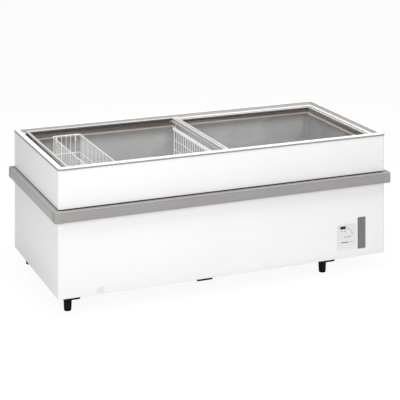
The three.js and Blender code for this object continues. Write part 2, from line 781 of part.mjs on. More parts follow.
// A round tube across the tank with a plate at each end. Two prongs on each plate hook over the lip.
function buildDivider() {
  const divider = group("divider");
  const [x0, x1] = [DIVIDER_X - TUBE_RADIUS, DIVIDER_X + TUBE_RADIUS];
  const fittings = [];
  for (const end of [-1, 1]) {
    const ordered = (near, far) => [end * near, end * far].sort((a, b) => a - b);
    const plateY = ordered(HUNG_BODY_Y - WIRE, HUNG_BODY_Y);
    const prongY = ordered(HUNG_BODY_Y - WIRE, HANG_Y);
    fittings.push(box(x0, x1, ...plateY, TUBE_Z - TUBE_RADIUS, TUBE_Z + TUBE_RADIUS));
    for (const x of [x0, x1 - WIRE]) {
      fittings.push(box(x, x + WIRE, ...plateY, TUBE_Z, HOOK_Z + WIRE));
      fittings.push(box(x, x + WIRE, ...prongY, HOOK_Z, HOOK_Z + WIRE));
    }
  }
  const bar = cylinderAlongY(TUBE_RADIUS, DIVIDER_X, TUBE_Z, -HUNG_BODY_Y, HUNG_BODY_Y, 24);
  addPart(divider, "divider_bar", joined(bar, ...fittings), WHITE_PLASTIC);

  const [y0, y1] = [-HUNG_BODY_Y, HUNG_BODY_Y];
  const [bottom, top] = [TANK_FLOOR + 12, TUBE_Z - TUBE_RADIUS];
  const sheet = box(DIVIDER_X - WIRE / 2, DIVIDER_X + WIRE / 2, y0, y1, bottom, top);
  const openings = [];
  for (const [a, b] of spans(y0, y1, 10)) {
    for (const [c, d] of spans(bottom, top, 7)) {
      openings.push(box(DIVIDER_X - WIRE, DIVIDER_X + WIRE, a, b, c, d));
    }
  }
  addPart(divider, "divider_grid", cut(sheet, ...openings), BASKET_WIRE);
}

// ---- Control panel ----

const KEY_X = [-10, 8, 26]; // from the panel's centre
const KEY_Z = -5;
const KEY_SIZE = 10;

function buildControls() {
  const { x, z, width, height } = CONTROL;
  const panel = group("controls");
  const frameOut = 6;
  const faceOut = 3.5;
  const border = 5;
  const opening = PANEL_LAND + 1;
  const shape = joined(
    box(x - width / 2, x + width / 2, -HALF_Y - frameOut, -HALF_Y - GAP, z - height / 2, z + height / 2),
    box(
      x - width / 2 + opening,
      x + width / 2 - opening,
      -HALF_Y - 1,
      -HALF_Y + 12,
      z - height / 2 + opening,
      z + height / 2 - opening,
    ),
  );
  const keyHoles = KEY_X.map((dx) => {
    const half = KEY_SIZE / 2 + GAP;
    return box(x + dx - half, x + dx + half, -HALF_Y - 10, -HALF_Y + 20, z + KEY_Z - half, z + KEY_Z + half);
  });
  const display = { x0: x - 39, x1: x - 3, z0: z + 42, z1: z + 59 };
  const bezel = cut(
    shape,
    box(
      x - width / 2 + border,
      x + width / 2 - border,
      -HALF_Y - 10,
      -HALF_Y - faceOut,
      z - height / 2 + border,
      z + height / 2 - border,
    ),
    box(
      display.x0 - GAP,
      display.x1 + GAP,
      -HALF_Y - 10,
      -HALF_Y + 1,
      display.z0 - GAP,
      display.z1 + GAP,
    ),
    ...keyHoles,
  );
  addPart(panel, "control_bezel", bezel, WHITE_PLASTIC);
  const window = box(display.x0, display.x1, -HALF_Y - faceOut - 0.5, -HALF_Y + 0.7, display.z0, display.z1);
  addPart(panel, "display_window", window, BLACK_PLASTIC);
  ["minus", "set", "plus"].forEach((name, k) => {
    const half = KEY_SIZE / 2;
    const keyX = x + KEY_X[k];
    const keyZ = z + KEY_Z;
    const key = box(
      keyX - half,
      keyX + half,
      -HALF_Y - faceOut - 1.8,
      -HALF_Y + 8,
      keyZ - half,
      keyZ + half,
    );
    addPart(panel, `key_${name}`, key, GREY_PLASTIC);
  });
  const housing = box(x - 50, x + 50, -HALF_Y + 13, -HALF_Y + 70, z - 60, z + 60);
  addPart(panel, "controller_box", housing, BLACK_PLASTIC);
}

// ---- Covers over the machine compartment ----

function buildCovers(cabinet) {
  const holes = [];
  const { x, z, width, height } = GRILLE;
  for (const [a, b] of spans(x - width / 2, x + width / 2, 3)) {
    for (const [c, d] of spans(z - height / 2, z + height / 2, 16)) {
      holes.push(box(a, b, -HALF_Y - 5, -HALF_Y + 5, c, d));
    }
  }
  const plate = box(
    x - width / 2,
    x + width / 2,
    -HALF_Y - 2,
    -HALF_Y - GAP,
    z - height / 2,
    z + height / 2,
  );
  addPart(cabinet, "vent_grille", cut(plate, ...holes), GREY_PLASTIC);

  const land = 12;
  const slots = [];
  for (let k = 0; k < 11; k++) {
    const z0 = SERVICE.z0 + 14 + 17 * k;
    slots.push(box(SERVICE.x0 + 20, SERVICE.x1 - 20, HALF_Y - 5, HALF_Y + 5, z0, z0 + 7));
  }
  const cover = box(
    SERVICE.x0 - land,
    SERVICE.x1 + land,
    HALF_Y + GAP,
    HALF_Y + 2,
    SERVICE.z0 - land,
    SERVICE.z1 + land,
  );
  addPart(cabinet, "rear_cover", cut(cover, ...slots), WHITE_PAINT);
}

// ---- Refrigeration, all in the machine compartment except the evaporator coil ----

const FAN = { x: 840, z: 215, y: -285 };
const COMPRESSOR = { x: 870, y: 60 };

function buildCompressor(machine) {
  const dome = turned(
    [
      [0, 104],
      [45, 107],
      [70, 120],
      [78, 145],
      [80, 190],
      [80, 215],
      [72, 250],
      [45, 272],
      [0, 280],
    ],
    24,
  );
  const foot = box(-95, 95, -85, 85, 108, 111);
  const mounts = [];
  for (const x of [-80, 80]) {
    for (const y of [-70, 70]) mounts.push(cylinderAlongZ(11, x, y, Z_SKIRT + 2 + GAP, 109, 12));
  }
  const whole = joined(dome, foot, ...mounts);
  addPart(machine, "compressor", whole, BLACK_STEEL).position.set(COMPRESSOR.x, COMPRESSOR.y, 0);
  const relay = box(-112, -82, -26, 26, 150, 215);
  addPart(machine, "start_relay_box", relay, BLACK_PLASTIC).position.set(COMPRESSOR.x, COMPRESSOR.y, 0);
  const drier = turned([
    [0, 120],
    [3, 120],
    [3, 132],
    [10, 142],
    [10, 232],
    [3, 242],
    [3, 258],
    [0, 258],
  ]);
  addPart(machine, "filter_drier", drier, COPPER).position.set(COMPRESSOR.x + 70, -120, 0);
}

function buildCondenser(machine) {
  const [x0, x1] = [725, 955];
  const [front, back] = [-385, -320];
  const [z0, z1] = [112, 318];
  const spine = 6;
  const fins = 22;
  const halfFin = 1.5;
  const pitch = (x1 - x0 - 2 * halfFin) / (fins - 1);
  const outline = [
    [x0, back],
    [x0, front],
  ];
  for (let k = 0; k < fins - 1; k++) {
    const slot0 = x0 + pitch * k + 2 * halfFin;
    const slot1 = x0 + pitch * (k + 1);
    outline.push([slot0, front], [slot0, back - spine], [slot1, back - spine], [slot1, front]);
  }
  outline.push([x1, front], [x1, back]);
  const shape = anticlockwise(outline);
  const sections = [z0, z1].map((z) => shape.map(([x, y]) => [x, y, z]));
  addPart(machine, "condenser", loft(shape, sections, false), GALVANISED);
}

function buildFan(machine) {
  const { x, z, y } = FAN;
  const plateY = -318;
  const [halfWidth, halfHeight] = [115, 103];
  const throat = 95.5; // radius of the opening that the blades turn in
  const wall = 2.5;
  const carrier = [-252, -249]; // the flat arms and hub that hold the motor
  const armReach = throat + 21.5;
  const plate = box(x - halfWidth, x + halfWidth, plateY, plateY + 2, z - halfHeight, z + halfHeight);
  const collar = cut(
    cylinderAlongY(throat + wall, x, z, plateY, plateY + 50, 28),
    cylinderAlongY(throat, x, z, plateY - 5, plateY + 60, 28),
  );
  const limit = solid(box(x - halfWidth, x + halfWidth, -400, -200, z - halfHeight, z + halfHeight));
  const arms = [0, 120, 240].map((turn) => {
    const arm = box(-4, 4, ...carrier, 20, armReach);
    const brace = box(-4, 4, plateY, carrier[1], armReach - 4, armReach);
    const placed = joined(arm, brace).rotateY(radians(turn)).translate(x, 0, z);
    return surface(solid(placed).intersect(limit));
  });
  const opened = cut(plate, cylinderAlongY(throat, x, z, plateY - 5, plateY + 20, 28));
  const hub = cut(
    cylinderAlongY(30, x, z, ...carrier, 16),
    cylinderAlongY(6, x, z, carrier[0] - 8, carrier[1] + 9, 12),
  );
  addPart(machine, "fan_shroud", joined(opened, collar, hub, ...arms), GALVANISED);

  const motorFace = carrier[1] + GAP;
  const motor = joined(
    cylinderAlongY(28, x, z, motorFace, motorFace + 43.7, 20),
    cylinderAlongY(3, x, z, y + 1, motorFace + 1, 10),
  );
  addPart(machine, "fan_motor", motor, BLACK_STEEL);

  const hubBody = cylinderAlongY(22, 0, 0, -11, 9, 20);
  const blades = [];
  for (let k = 0; k < 5; k++) {
    const blade = new THREE.BoxGeometry(52, 2, 70).translate(0, 0, 52);
    blades.push(blade.rotateZ(radians(24)).rotateY(radians(72 * k)));
  }
  const bore = cylinderAlongY(3.3, 0, 0, 0, 20, 10);
  const fan = group("fan");
  addPart(fan, "fan_blade", cut(joined(hubBody, ...blades), bore), BLACK_PLASTIC);
  fan.position.set(x, y, z);
}

function buildPipes(machine) {
  const coilX = HALF_X - COIL_DEPTH;
  const coilY = HALF_Y - COIL_DEPTH;
  const tail = MACHINE_TOP - 15;
  const path = [
    [COMPRESSOR.x + 45, COIL_Y[1], 271],
    [COMPRESSOR.x + 45, COIL_Y[1], tail],
    [coilX, COIL_Y[1], tail],
  ];
  COIL_LEVELS.forEach((z, level) => {
    const loop = [
      [coilX, COIL_Y[1], z],
      [coilX, coilY, z],
      [-coilX, coilY, z],
      [-coilX, -coilY, z],
      [coilX, -coilY, z],
      [coilX, COIL_Y[0], z],
    ];
    path.push(...(level % 2 ? loop.reverse() : loop));
  });
  addPart(machine, "evaporator_coil", tube(path, COIL_RADIUS), COPPER);
}

// ---- Drain and power cord ----

function buildDrain(cabinet) {
  const { x, y, z } = DRAIN;
  const end = -HALF_Y + 2;
  const route = (extra) => [
    [x, y, TANK_FLOOR - GAP + extra],
    [x, y, z],
    [x, end - extra, z],
  ];
  const pipe = cut(tube(route(0), 12, 12), tube(route(5), 9.5, 12));
  addPart(cabinet, "drain_pipe", pipe, GREY_PLASTIC);

  const cap = turned([
    [0, -14],
    [8.5, -14],
    [9, -12],
    [9, 0.3],
    [20, 0.3],
    [20, 3],
    [18, 5],
    [0, 5],
  ]);
  const mesh = addPart(group("drain_plug"), "drain_cap", cap, WHITE_PLASTIC);
  mesh.rotation.x = radians(90);
  mesh.position.set(x, -HALF_Y, z);
}

function buildCord(cabinet) {
  const outY = HALF_Y + 14;
  const knots = [
    [CORD.x, HALF_Y - 40, CORD.z],
    [CORD.x, HALF_Y + 2, CORD.z],
    [CORD.x - 4, outY - 2, CORD.z - 6],
    [CORD.x - 20, outY, 60],
    [CORD.x - 60, outY, 12],
    [CORD.x - 160, outY, 5],
    [CORD.x - 300, outY, 5],
    [CORD.x - 420, outY, 5],
  ].map((p) => new THREE.Vector3(...p));
  const curve = new THREE.CatmullRomCurve3(knots, false, "centripetal");
  const cord = tube(curve.getPoints(36).map((p) => p.toArray()), 4, 8);
  const plugX = CORD.x - 420;
  const plug = joined(
    box(plugX - 38, plugX + 2, outY - 12, outY + 12, 1, 25),
    cylinderAlongZ(2.4, plugX - 28, outY - 5, 20, 40, 8),
    cylinderAlongZ(2.4, plugX - 28, outY + 5, 20, 40, 8),
  );
  addPart(cabinet, "power_cord", joined(cord, plug), BLACK_PLASTIC);
}

// ---- Assembly ----

const cabinet = group("cabinet");
buildShells(cabinet);
buildInsulation(cabinet);
buildLiner(cabinet);
["left", "centre", "right"].forEach((name, k) => {
  buildBeam(cabinet, `beam_${name}`, BEAM_X[k], name !== "centre");
});
const feet = group("feet");
for (const [side, x] of [["left", BEAM_X[0]], ["right", BEAM_X[2]]]) {
  buildFoot(feet, `foot_front_${side}`, x + FOOT_OFFSET_X, -FOOT_Y);
  buildFoot(feet, `foot_back_${side}`, x + FOOT_OFFSET_X, FOOT_Y);
}
buildBumper(cabinet);
buildRim(cabinet);
buildRails(cabinet);
buildLids();
buildBasket();
buildDivider();
buildControls();
buildCovers(cabinet);
const machine = group("machine");
buildCompressor(machine);
buildCondenser(machine);
buildFan(machine);
buildPipes(machine);
buildDrain(cabinet);
buildCord(cabinet);

export default freezer;
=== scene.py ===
"""The looks of an island chest freezer with sliding glass lids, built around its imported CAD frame.

Lengths are metres in the CAD frame: +X runs along the cabinet to its machine end, -Y is the front, +Z is up.
The radii of outline corners and the rounding of edges are given in millimetres.
"""
import math

import bmesh
import bpy
from mathutils import Matrix, Vector


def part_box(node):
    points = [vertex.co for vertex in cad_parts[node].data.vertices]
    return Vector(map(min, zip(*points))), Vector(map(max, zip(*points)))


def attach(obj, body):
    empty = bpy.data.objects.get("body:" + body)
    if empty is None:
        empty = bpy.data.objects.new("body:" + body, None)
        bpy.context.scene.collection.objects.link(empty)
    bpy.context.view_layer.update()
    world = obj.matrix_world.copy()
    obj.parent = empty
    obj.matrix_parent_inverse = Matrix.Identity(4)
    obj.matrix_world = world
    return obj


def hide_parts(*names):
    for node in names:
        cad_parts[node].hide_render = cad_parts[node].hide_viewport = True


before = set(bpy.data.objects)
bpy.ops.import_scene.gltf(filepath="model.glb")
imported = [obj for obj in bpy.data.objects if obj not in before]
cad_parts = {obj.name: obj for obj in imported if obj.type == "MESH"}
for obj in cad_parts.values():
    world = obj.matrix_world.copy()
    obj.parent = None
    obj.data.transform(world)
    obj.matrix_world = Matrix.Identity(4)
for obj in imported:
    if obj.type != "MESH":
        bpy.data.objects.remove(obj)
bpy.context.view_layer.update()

MM = 0.001
WELD = 1e-6  # vertices closer than this are one
NEAR = 1e-5  # how close counts as at the same place

# ---- Sizes taken from the frame ----

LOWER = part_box("lower_shell")
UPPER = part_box("upper_shell")
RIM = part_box("rim_cap")
HALF_X = LOWER[1].x
HALF_Y = LOWER[1].y
SKIRT = LOWER[0].z
RIM_CREST = RIM[1].z
RIM_EDGE = RIM_CREST - 4 * MM
BODY_CORNER = 12 * MM
SHEET = 1.2 * MM
SIDES = ("front", "right", "back", "left")
LIP_WIDTH = 19 * MM
LIP_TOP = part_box("rail_front")[0].z + 4 * MM
UPPER_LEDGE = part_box("left_lid_front_runner")[0].z - 0.5 * MM
LOWER_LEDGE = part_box("right_lid_front_runner")[0].z - 0.5 * MM


# ---- Mesh building ----

def mm(*points):
    """Points given in millimetres."""
    return [tuple(value * MM for value in point) for point in points]


def loft(bm, sections, loop=False, outline_closed=True):
    """Joins matching rows of points with quads. An open run of closed outlines is capped at both ends."""
    rows = [[bm.verts.new(point) for point in section] for section in sections]
    count = len(rows[0])
    spans = len(rows) if loop else len(rows) - 1
    steps = count if outline_closed else count - 1
    for s in range(spans):
        here = rows[s]
        there = rows[(s + 1) % len(rows)]
        for i in range(steps):
            j = (i + 1) % count
            bm.faces.new((here[i], here[j], there[j], there[i]))
    if outline_closed and not loop:
        bm.faces.new(reversed(rows[0]))
        bm.faces.new(rows[-1])
    return bm


def rounded(corners, steps=4):
    """A closed outline from (u, v, radius) corners, each rounded to its radius."""
    outline = []
    for i, (u, v, bend) in enumerate(corners):
        corner = Vector((u, v))
        radius = bend * MM
        if not radius:
            outline.append((u, v))
            continue
        before = (Vector(corners[i - 1][:2]) - corner).normalized()
        after = (Vector(corners[(i + 1) % len(corners)][:2]) - corner).normalized()
        half = before.angle(after) / 2
        centre = corner + (before + after).normalized() * (radius / math.sin(half))
        start = corner + before * (radius / math.tan(half)) - centre
        end = corner + after * (radius / math.tan(half)) - centre
        first = math.atan2(start.y, start.x)
        turn = math.remainder(math.atan2(end.y, end.x) - first, 2 * math.pi)
        for k in range(steps + 1):
            angle = first + turn * k / steps
            outline.append((centre.x + radius * math.cos(angle), centre.y + radius * math.sin(angle)))
    return outline


def ring(profile, steps=8):
    """A (depth, z) outline run round the cabinet. Depth is inwards from the body's face."""
    sections = []
    for sign_x, sign_y, start in ((1, -1, -90), (1, 1, 0), (-1, 1, 90), (-1, -1, 180)):
        for k in range(steps + 1):
            angle = math.radians(start + 90 * k / steps)
            section = []
            for depth, z in profile:
                centre = max(depth, BODY_CORNER)
                arc = max(BODY_CORNER - depth, 0)
                x = sign_x * (HALF_X - centre) + arc * math.cos(angle)
                y = sign_y * (HALF_Y - centre) + arc * math.sin(angle)
                section.append((x, y, z))
            sections.append(section)
    return loft(bmesh.new(), sections, loop=True)


def side_bar(profile, side, half_run):
    """A (depth, z) outline run straight along one side. half_run(run, depth) is half its length there."""
    along_x = side in ("front", "back")
    run, out = (HALF_X, HALF_Y) if along_x else (HALF_Y, HALF_X)
    sections = []
    for end in (-1, 1):
        sections.append([(end * half_run(run, depth), depth - out, z) for depth, z in profile])
    bm = loft(bmesh.new(), sections)
    turn = Matrix.Rotation(math.radians(90 * SIDES.index(side)), 4, "Z")
    bmesh.ops.transform(bm, matrix=turn, verts=bm.verts)
    return bm


def prism(outline, axis, low, high):
    """An outline run along an axis. It is (y, z) along X, (x, z) along Y and (x, y) along Z."""
    place = {
        "X": lambda u, v, w: (w, u, v),
        "Y": lambda u, v, w: (u, w, v),
        "Z": lambda u, v, w: (u, v, w),
    }[axis]
    sections = [[place(u, v, w) for u, v in outline] for w in (low, high)]
    return loft(bmesh.new(), sections)


def plate(x, z, front, back, corner):
    """An upright plate that faces the front, with rounded corners. x and z are its (low, high) spans."""
    corners = [(x[0], z[0], corner), (x[1], z[0], corner), (x[1], z[1], corner), (x[0], z[1], corner)]
    return prism(rounded(corners), "Y", front, back)


def plate_for(node, inset, front, back, corner):
    """A plate in the place of a CAD node, inset from its edges."""
    low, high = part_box(node)
    return plate((low.x + inset, high.x - inset), (low.z + inset, high.z - inset), front, back, corner)


def block(low, high, edge=1, segments=2):
    """A box with every edge rounded."""
    bm = bmesh.new()
    bmesh.ops.create_cube(bm, size=1)
    low = Vector(low)
    high = Vector(high)
    bmesh.ops.scale(bm, vec=high - low, verts=bm.verts)
    bmesh.ops.translate(bm, vec=(low + high) / 2, verts=bm.verts)
    bmesh.ops.bevel(bm, geom=bm.edges[:], offset=edge * MM, segments=segments, profile=0.5, affect="EDGES")
    return bm


AXES = {
    "+Z": Matrix.Identity(4),
    "-Z": Matrix.Rotation(math.pi, 4, "X"),
    "-Y": Matrix.Rotation(math.pi / 2, 4, "X"),
    "+Y": Matrix.Rotation(-math.pi / 2, 4, "X"),
    "+X": Matrix.Rotation(math.pi / 2, 4, "Y"),
    "-X": Matrix.Rotation(-math.pi / 2, 4, "Y"),
}


def turned(profile, at, axis, segments, flutes=0, flute_depth=0.0, flute_from=0.0):
    """A (radius, height) profile turned about an axis, with flutes beyond flute_from if asked."""
    sections = []
    for k in range(segments):
        angle = 2 * math.pi * k / segments
        wave = 0.5 - 0.5 * math.cos(flutes * angle)
        section = []
        for radius, height in profile:
            r = radius - (flute_depth * wave if radius > flute_from else 0)
            section.append((r * math.cos(angle), r * math.sin(angle), height))
        sections.append(section)
    bm = loft(bmesh.new(), sections, loop=True, outline_closed=False)
    bmesh.ops.transform(bm, matrix=Matrix.Translation(at) @ AXES[axis], verts=bm.verts)
    return bm


def fillet(path, radius, steps=4):
    """A path of points with its bends rounded."""
    points = [Vector(p) for p in path]
    out = [points[0]]
    for before, corner, after in zip(points, points[1:], points[2:]):
        first = corner + (before - corner).normalized() * radius
        last = corner + (after - corner).normalized() * radius
        for k in range(steps + 1):
            t = k / steps
            out.append(first * (1 - t) ** 2 + corner * (2 * t * (1 - t)) + last * t ** 2)
    out.append(points[-1])
    return out


def wire(path, radius, sides=8):
    """A round wire along a path of points."""
    points = [Vector(p) for p in path]
    tangents = []
    for i in range(len(points)):
        tangents.append((points[min(i + 1, len(points) - 1)] - points[max(i - 1, 0)]).normalized())
    side = tangents[0].orthogonal().normalized()
    sections = []
    for i, point in enumerate(points):
        side = (side - tangents[i] * side.dot(tangents[i])).normalized()
        other = tangents[i].cross(side)
        section = []
        for k in range(sides):
            angle = 2 * math.pi * k / sides
            section.append(point + radius * (math.cos(angle) * side + math.sin(angle) * other))
        sections.append(section)
    return loft(bmesh.new(), sections)


def as_object(name, data):
    """A new object in the scene."""
    made = bpy.data.objects.new(name, data)
    bpy.context.collection.objects.link(made)
    return made


def as_mesh(name, bm):
    """Hands a mesh under construction over to Blender."""
    mesh = bpy.data.meshes.new(name)
    bm.to_mesh(mesh)
    bm.free()
    return mesh


def together(parts):
    """One mesh from many."""
    whole = bmesh.new()
    for part in parts:
        scratch = as_mesh("scratch", part)
        whole.from_mesh(scratch)
        bpy.data.meshes.remove(scratch)
    return whole


def mark_edges(bm, degrees):
    """Smooth shading everywhere but on edges sharper than this."""
    for face in bm.faces:
        face.smooth = True
    limit = math.radians(degrees)
    for edge in bm.edges:
        if len(edge.link_faces) == 2 and edge.calc_face_angle(0) > limit:
            edge.smooth = False


def add(name, bm, finish, body="cabinet", node=None, edge=0, sharp=34, weld=True):
    """Makes a piece from a mesh: its finish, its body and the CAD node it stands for."""
    if weld:
        bmesh.ops.remove_doubles(bm, verts=bm.verts, dist=WELD)
    bmesh.ops.recalc_face_normals(bm, faces=bm.faces)
    mark_edges(bm, sharp)
    piece = as_object(name, as_mesh(name, bm))
    piece.data.materials.append(finish)
    if edge:
        bevel = piece.modifiers.new("edges", "BEVEL")
        bevel.width = edge * MM
        bevel.segments = 2
        bevel.limit_method = "ANGLE"
        bevel.angle_limit = math.radians(40)
        bevel.harden_normals = True
    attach(piece, body)
    if node:
        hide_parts(node)
    return piece


def carve(piece, *cutters):
    """Cuts meshes out of a piece."""
    for bm in cutters:
        bmesh.ops.recalc_face_normals(bm, faces=bm.faces)
        cutter = as_object("cutter", as_mesh("cutter", bm))
        cut = piece.modifiers.new("cut", "BOOLEAN")
        cut.operation = "DIFFERENCE"
        cut.solver = "EXACT"
        cut.object = cutter
        bpy.context.view_layer.update()
        graph = bpy.context.evaluated_depsgraph_get()
        made = bpy.data.meshes.new_from_object(piece.evaluated_get(graph))
        piece.modifiers.remove(cut)
        piece.data = made
        bpy.data.objects.remove(cutter)


# ---- Materials ----

MIX_FIRST, MIX_SECOND, MIX_RESULT = 6, 7, 2  # a mix node's colour sockets


def linear(hex_colour):
    """An sRGB colour as linear values with alpha."""
    channels = []
    for shift in (16, 8, 0):
        value = ((hex_colour >> shift) & 255) / 255
        channels.append(value / 12.92 if value <= 0.04045 else ((value + 0.055) / 1.055) ** 2.4)
    return (*channels, 1.0)


class Nodes:
    """A material's node tree, with short calls for the nodes that every finish here uses."""

    def __init__(self, name, slot=None):
        self.material = bpy.data.materials.new(name)
        self.material.use_nodes = True
        self.tree = self.material.node_tree
        self.shader = self.tree.nodes["Principled BSDF"]
        self.place = self.tree.nodes.new("ShaderNodeTexCoord").outputs["Object"]

    def put(self, value, socket):
        """Links a socket to an output, or sets it to a value."""
        if isinstance(value, bpy.types.NodeSocket):
            self.tree.links.new(value, socket)
        else:
            socket.default_value = value

    def feed(self, node, **inputs):
        """Fills a node's inputs by name, with _ for a space."""
        for key, value in inputs.items():
            self.put(value, node.inputs[key.replace("_", " ")])
        return node

    def new(self, kind, **inputs):
        return self.feed(self.tree.nodes.new(kind), **inputs)

    def noise(self, scale, detail, stretch=(1, 1, 1), roughness=0.5):
        source = self.new("ShaderNodeMapping", Vector=self.place, Scale=stretch).outputs["Vector"]
        node = self.new("ShaderNodeTexNoise", Vector=source, Scale=scale, Detail=detail, Roughness=roughness)
        return node.outputs["Fac"]

    def spread(self, value, low, high, source_low=0.3, source_high=0.7):
        """A value's span from source_low to source_high, spread from low to high."""
        node = self.new("ShaderNodeMapRange", Value=value, From_Min=source_low, From_Max=source_high,
                        To_Min=low, To_Max=high)
        return node.outputs["Result"]

    def shade(self, colour, value):
        """The colour multiplied by a grey value."""
        node = self.tree.nodes.new("ShaderNodeVectorMath")
        node.operation = "SCALE"
        self.put(colour if isinstance(colour, bpy.types.NodeSocket) else colour[:3], node.inputs[0])
        self.put(value, node.inputs["Scale"])
        return node.outputs["Vector"]

    def mix(self, factor, first, second):
        node = self.tree.nodes.new("ShaderNodeMix")
        node.data_type = "RGBA"
        self.put(factor, node.inputs["Factor"])
        self.put(first, node.inputs[MIX_FIRST])
        self.put(second, node.inputs[MIX_SECOND])
        return node.outputs[MIX_RESULT]

    def bump(self, height, strength, distance):
        """Fine relief, with its distance in millimetres."""
        node = self.new("ShaderNodeBump", Height=height, Strength=strength, Distance=distance * MM)
        self.feed(self.shader, Normal=node.outputs["Normal"])

    def surface(self, **inputs):
        """Fills the shader and hands over the material."""
        self.feed(self.shader, **inputs)
        return self.material

    def two_shaders(self, share, first, second):
        """Puts a mix of two shaders in the place of the usual one and hands over the material."""
        self.tree.nodes.remove(self.shader)
        both = self.tree.nodes.new("ShaderNodeMixShader")
        for number, value in enumerate((share, first, second)):
            self.put(value, both.inputs[number])
        self.put(both.outputs["Shader"], self.tree.nodes["Material Output"].inputs["Surface"])
        return self.material


def moulded(name, slot, hex_colour, roughness, metallic=0.0, coat=0.0, variation=0.02, depth=0.02,
            painted_glow=0.0, specular=0.5):
    """Paint, plastic or metal: broad tone changes, uneven gloss and a fine grain, its depth in millimetres.

    painted_glow is painted light: the surface glows in its own colour at this strength, which lifts its
    shaded side.
    """
    nodes = Nodes(name, slot)
    tone = nodes.spread(nodes.noise(3.0, 2.0), 1 - variation, 1 + variation / 2)
    nodes.bump(nodes.noise(1400.0, 2.0), 0.35, depth)
    return nodes.surface(
        Base_Color=nodes.shade(linear(hex_colour), tone),
        Roughness=nodes.spread(nodes.noise(22.0, 4.0), roughness - 0.05, roughness + 0.06),
        Metallic=metallic,
        Specular_IOR_Level=specular,
        Coat_Weight=coat,
        Coat_Roughness=0.25,
        Emission_Color=linear(hex_colour),
        Emission_Strength=painted_glow,
    )


def brushed(name, hex_colour, roughness, metallic, along):
    """Drawn aluminium: streaks and fine scratches run along one axis."""
    nodes = Nodes(name, "bumper_aluminium")
    stretch = (0.6, 60, 60) if along == "X" else (60, 0.6, 60)
    streak = nodes.noise(9.0, 5.0, stretch, 0.65)
    colour = nodes.shade(linear(hex_colour), nodes.spread(streak, 0.93, 1.04))
    colour = nodes.shade(colour, nodes.spread(nodes.noise(1.6, 2.0), 0.96, 1.03))
    nodes.bump(streak, 0.2, 0.05)
    gloss = nodes.spread(streak, roughness - 0.06, roughness + 0.08)
    return nodes.surface(Base_Color=colour, Roughness=gloss, Metallic=metallic)


# Dark brown: partly the rail's own tone, partly painted shade and painted reflection of the dark tank.
RAIL_BROWN_AND_SHADE = 0x5F5046
RAIL_BANDS = (  # colour, the height where it starts to show and the height where it covers
    # painted shadow: darker from the lip up to the upper ledge, under the ledge and the lid frames
    (0x2C211B, LIP_TOP, UPPER_LEDGE),
    (0xC2B4AA, LIP_TOP + 2 * MM, LIP_TOP - 0.5 * MM),
    # painted light: the upper ledge is lightened against the shade in its narrow gap
    (0xE6E4E2, UPPER_LEDGE - 3 * MM, UPPER_LEDGE - 1 * MM),
    (0xB4B2B0, UPPER_LEDGE + 1 * MM, UPPER_LEDGE + 3 * MM),
)


def rail_finish():
    """Satin rail: light grey from the upper ledge up, dark brown below it, with a pale lip. The brown is
    partly the rail's own tone and partly painted shade and painted reflection; it deepens to a painted shadow
    right under the upper ledge, and the ledge itself is lightened as painted light.
    """
    nodes = Nodes("rail_aluminium", "rail_aluminium")
    height = nodes.new("ShaderNodeSeparateXYZ", Vector=nodes.place).outputs["Z"]
    streak = nodes.noise(9.0, 4.0, (1, 1, 60), 0.6)
    colour = linear(RAIL_BROWN_AND_SHADE)
    for tone, start, end in RAIL_BANDS:
        colour = nodes.mix(nodes.spread(height, 0, 1, start, end), colour, linear(tone))
    colour = nodes.shade(colour, nodes.spread(streak, 0.94, 1.04))
    nodes.bump(streak, 0.15, 0.05)
    gloss = nodes.spread(streak, 0.5, 0.65)
    return nodes.surface(Base_Color=colour, Roughness=gloss, Specular_IOR_Level=0.25)


def liner_finish():
    """Coated tank sheet with a faint stucco emboss and a little frost bloom."""
    nodes = Nodes("liner_coating", "liner_paint")
    bloom = nodes.noise(7.0, 5.0)
    colour = nodes.mix(nodes.spread(bloom, 0, 1, 0.45, 0.75), linear(0xA4A4A3), linear(0xB2B3B4))
    nodes.bump(nodes.noise(260.0, 2.0), 0.25, 0.12)
    return nodes.surface(Base_Color=colour, Roughness=nodes.spread(bloom, 0.38, 0.6), Metallic=0.1)


def galvanised_finish():
    """Zinc sheet with its crystal spangle."""
    nodes = Nodes("galvanised")
    crystals = nodes.new("ShaderNodeTexVoronoi", Vector=nodes.place, Scale=95.0)
    grey = nodes.new("ShaderNodeRGBToBW", Color=crystals.outputs["Color"]).outputs["Val"]
    colour = nodes.shade(linear(0xA8ABAD), nodes.spread(grey, 0.86, 1.08, 0.1, 0.9))
    return nodes.surface(Base_Color=colour, Roughness=nodes.spread(grey, 0.38, 0.6, 0.1, 0.9), Metallic=0.8)


def foam_finish():
    """Cut rigid foam: small cells in a pale yellow."""
    nodes = Nodes("rigid_foam")
    cells = nodes.new("ShaderNodeTexVoronoi", Vector=nodes.place, Scale=620.0).outputs["Distance"]
    nodes.bump(cells, 0.6, 0.6)
    tone = nodes.spread(nodes.noise(5.0, 4.0), 0.9, 1.06)
    return nodes.surface(Base_Color=nodes.shade(linear(0xDCC98E), tone), Roughness=0.9)


GLASS_REFLECTION = 0.2  # share of the full reflection that shows


def glass_finish():
    """Clear tempered glass: it lets light through and picks up a thin reflection."""
    nodes = Nodes("tempered_glass", "lid_glass")
    smudge = nodes.spread(nodes.noise(11.0, 5.0), 0.02, 0.09)
    clear = nodes.new("ShaderNodeBsdfTransparent", Color=linear(0xFCFCFC))
    gloss = nodes.new("ShaderNodeBsdfGlossy", Color=linear(0xF2F2F2), Roughness=smudge)
    facing = nodes.new("ShaderNodeFresnel", IOR=1.5).outputs["Fac"]
    share = nodes.spread(facing, 0.0, GLASS_REFLECTION, 0.0, 1.0)
    return nodes.two_shaders(share, clear.outputs["BSDF"], gloss.outputs["BSDF"])


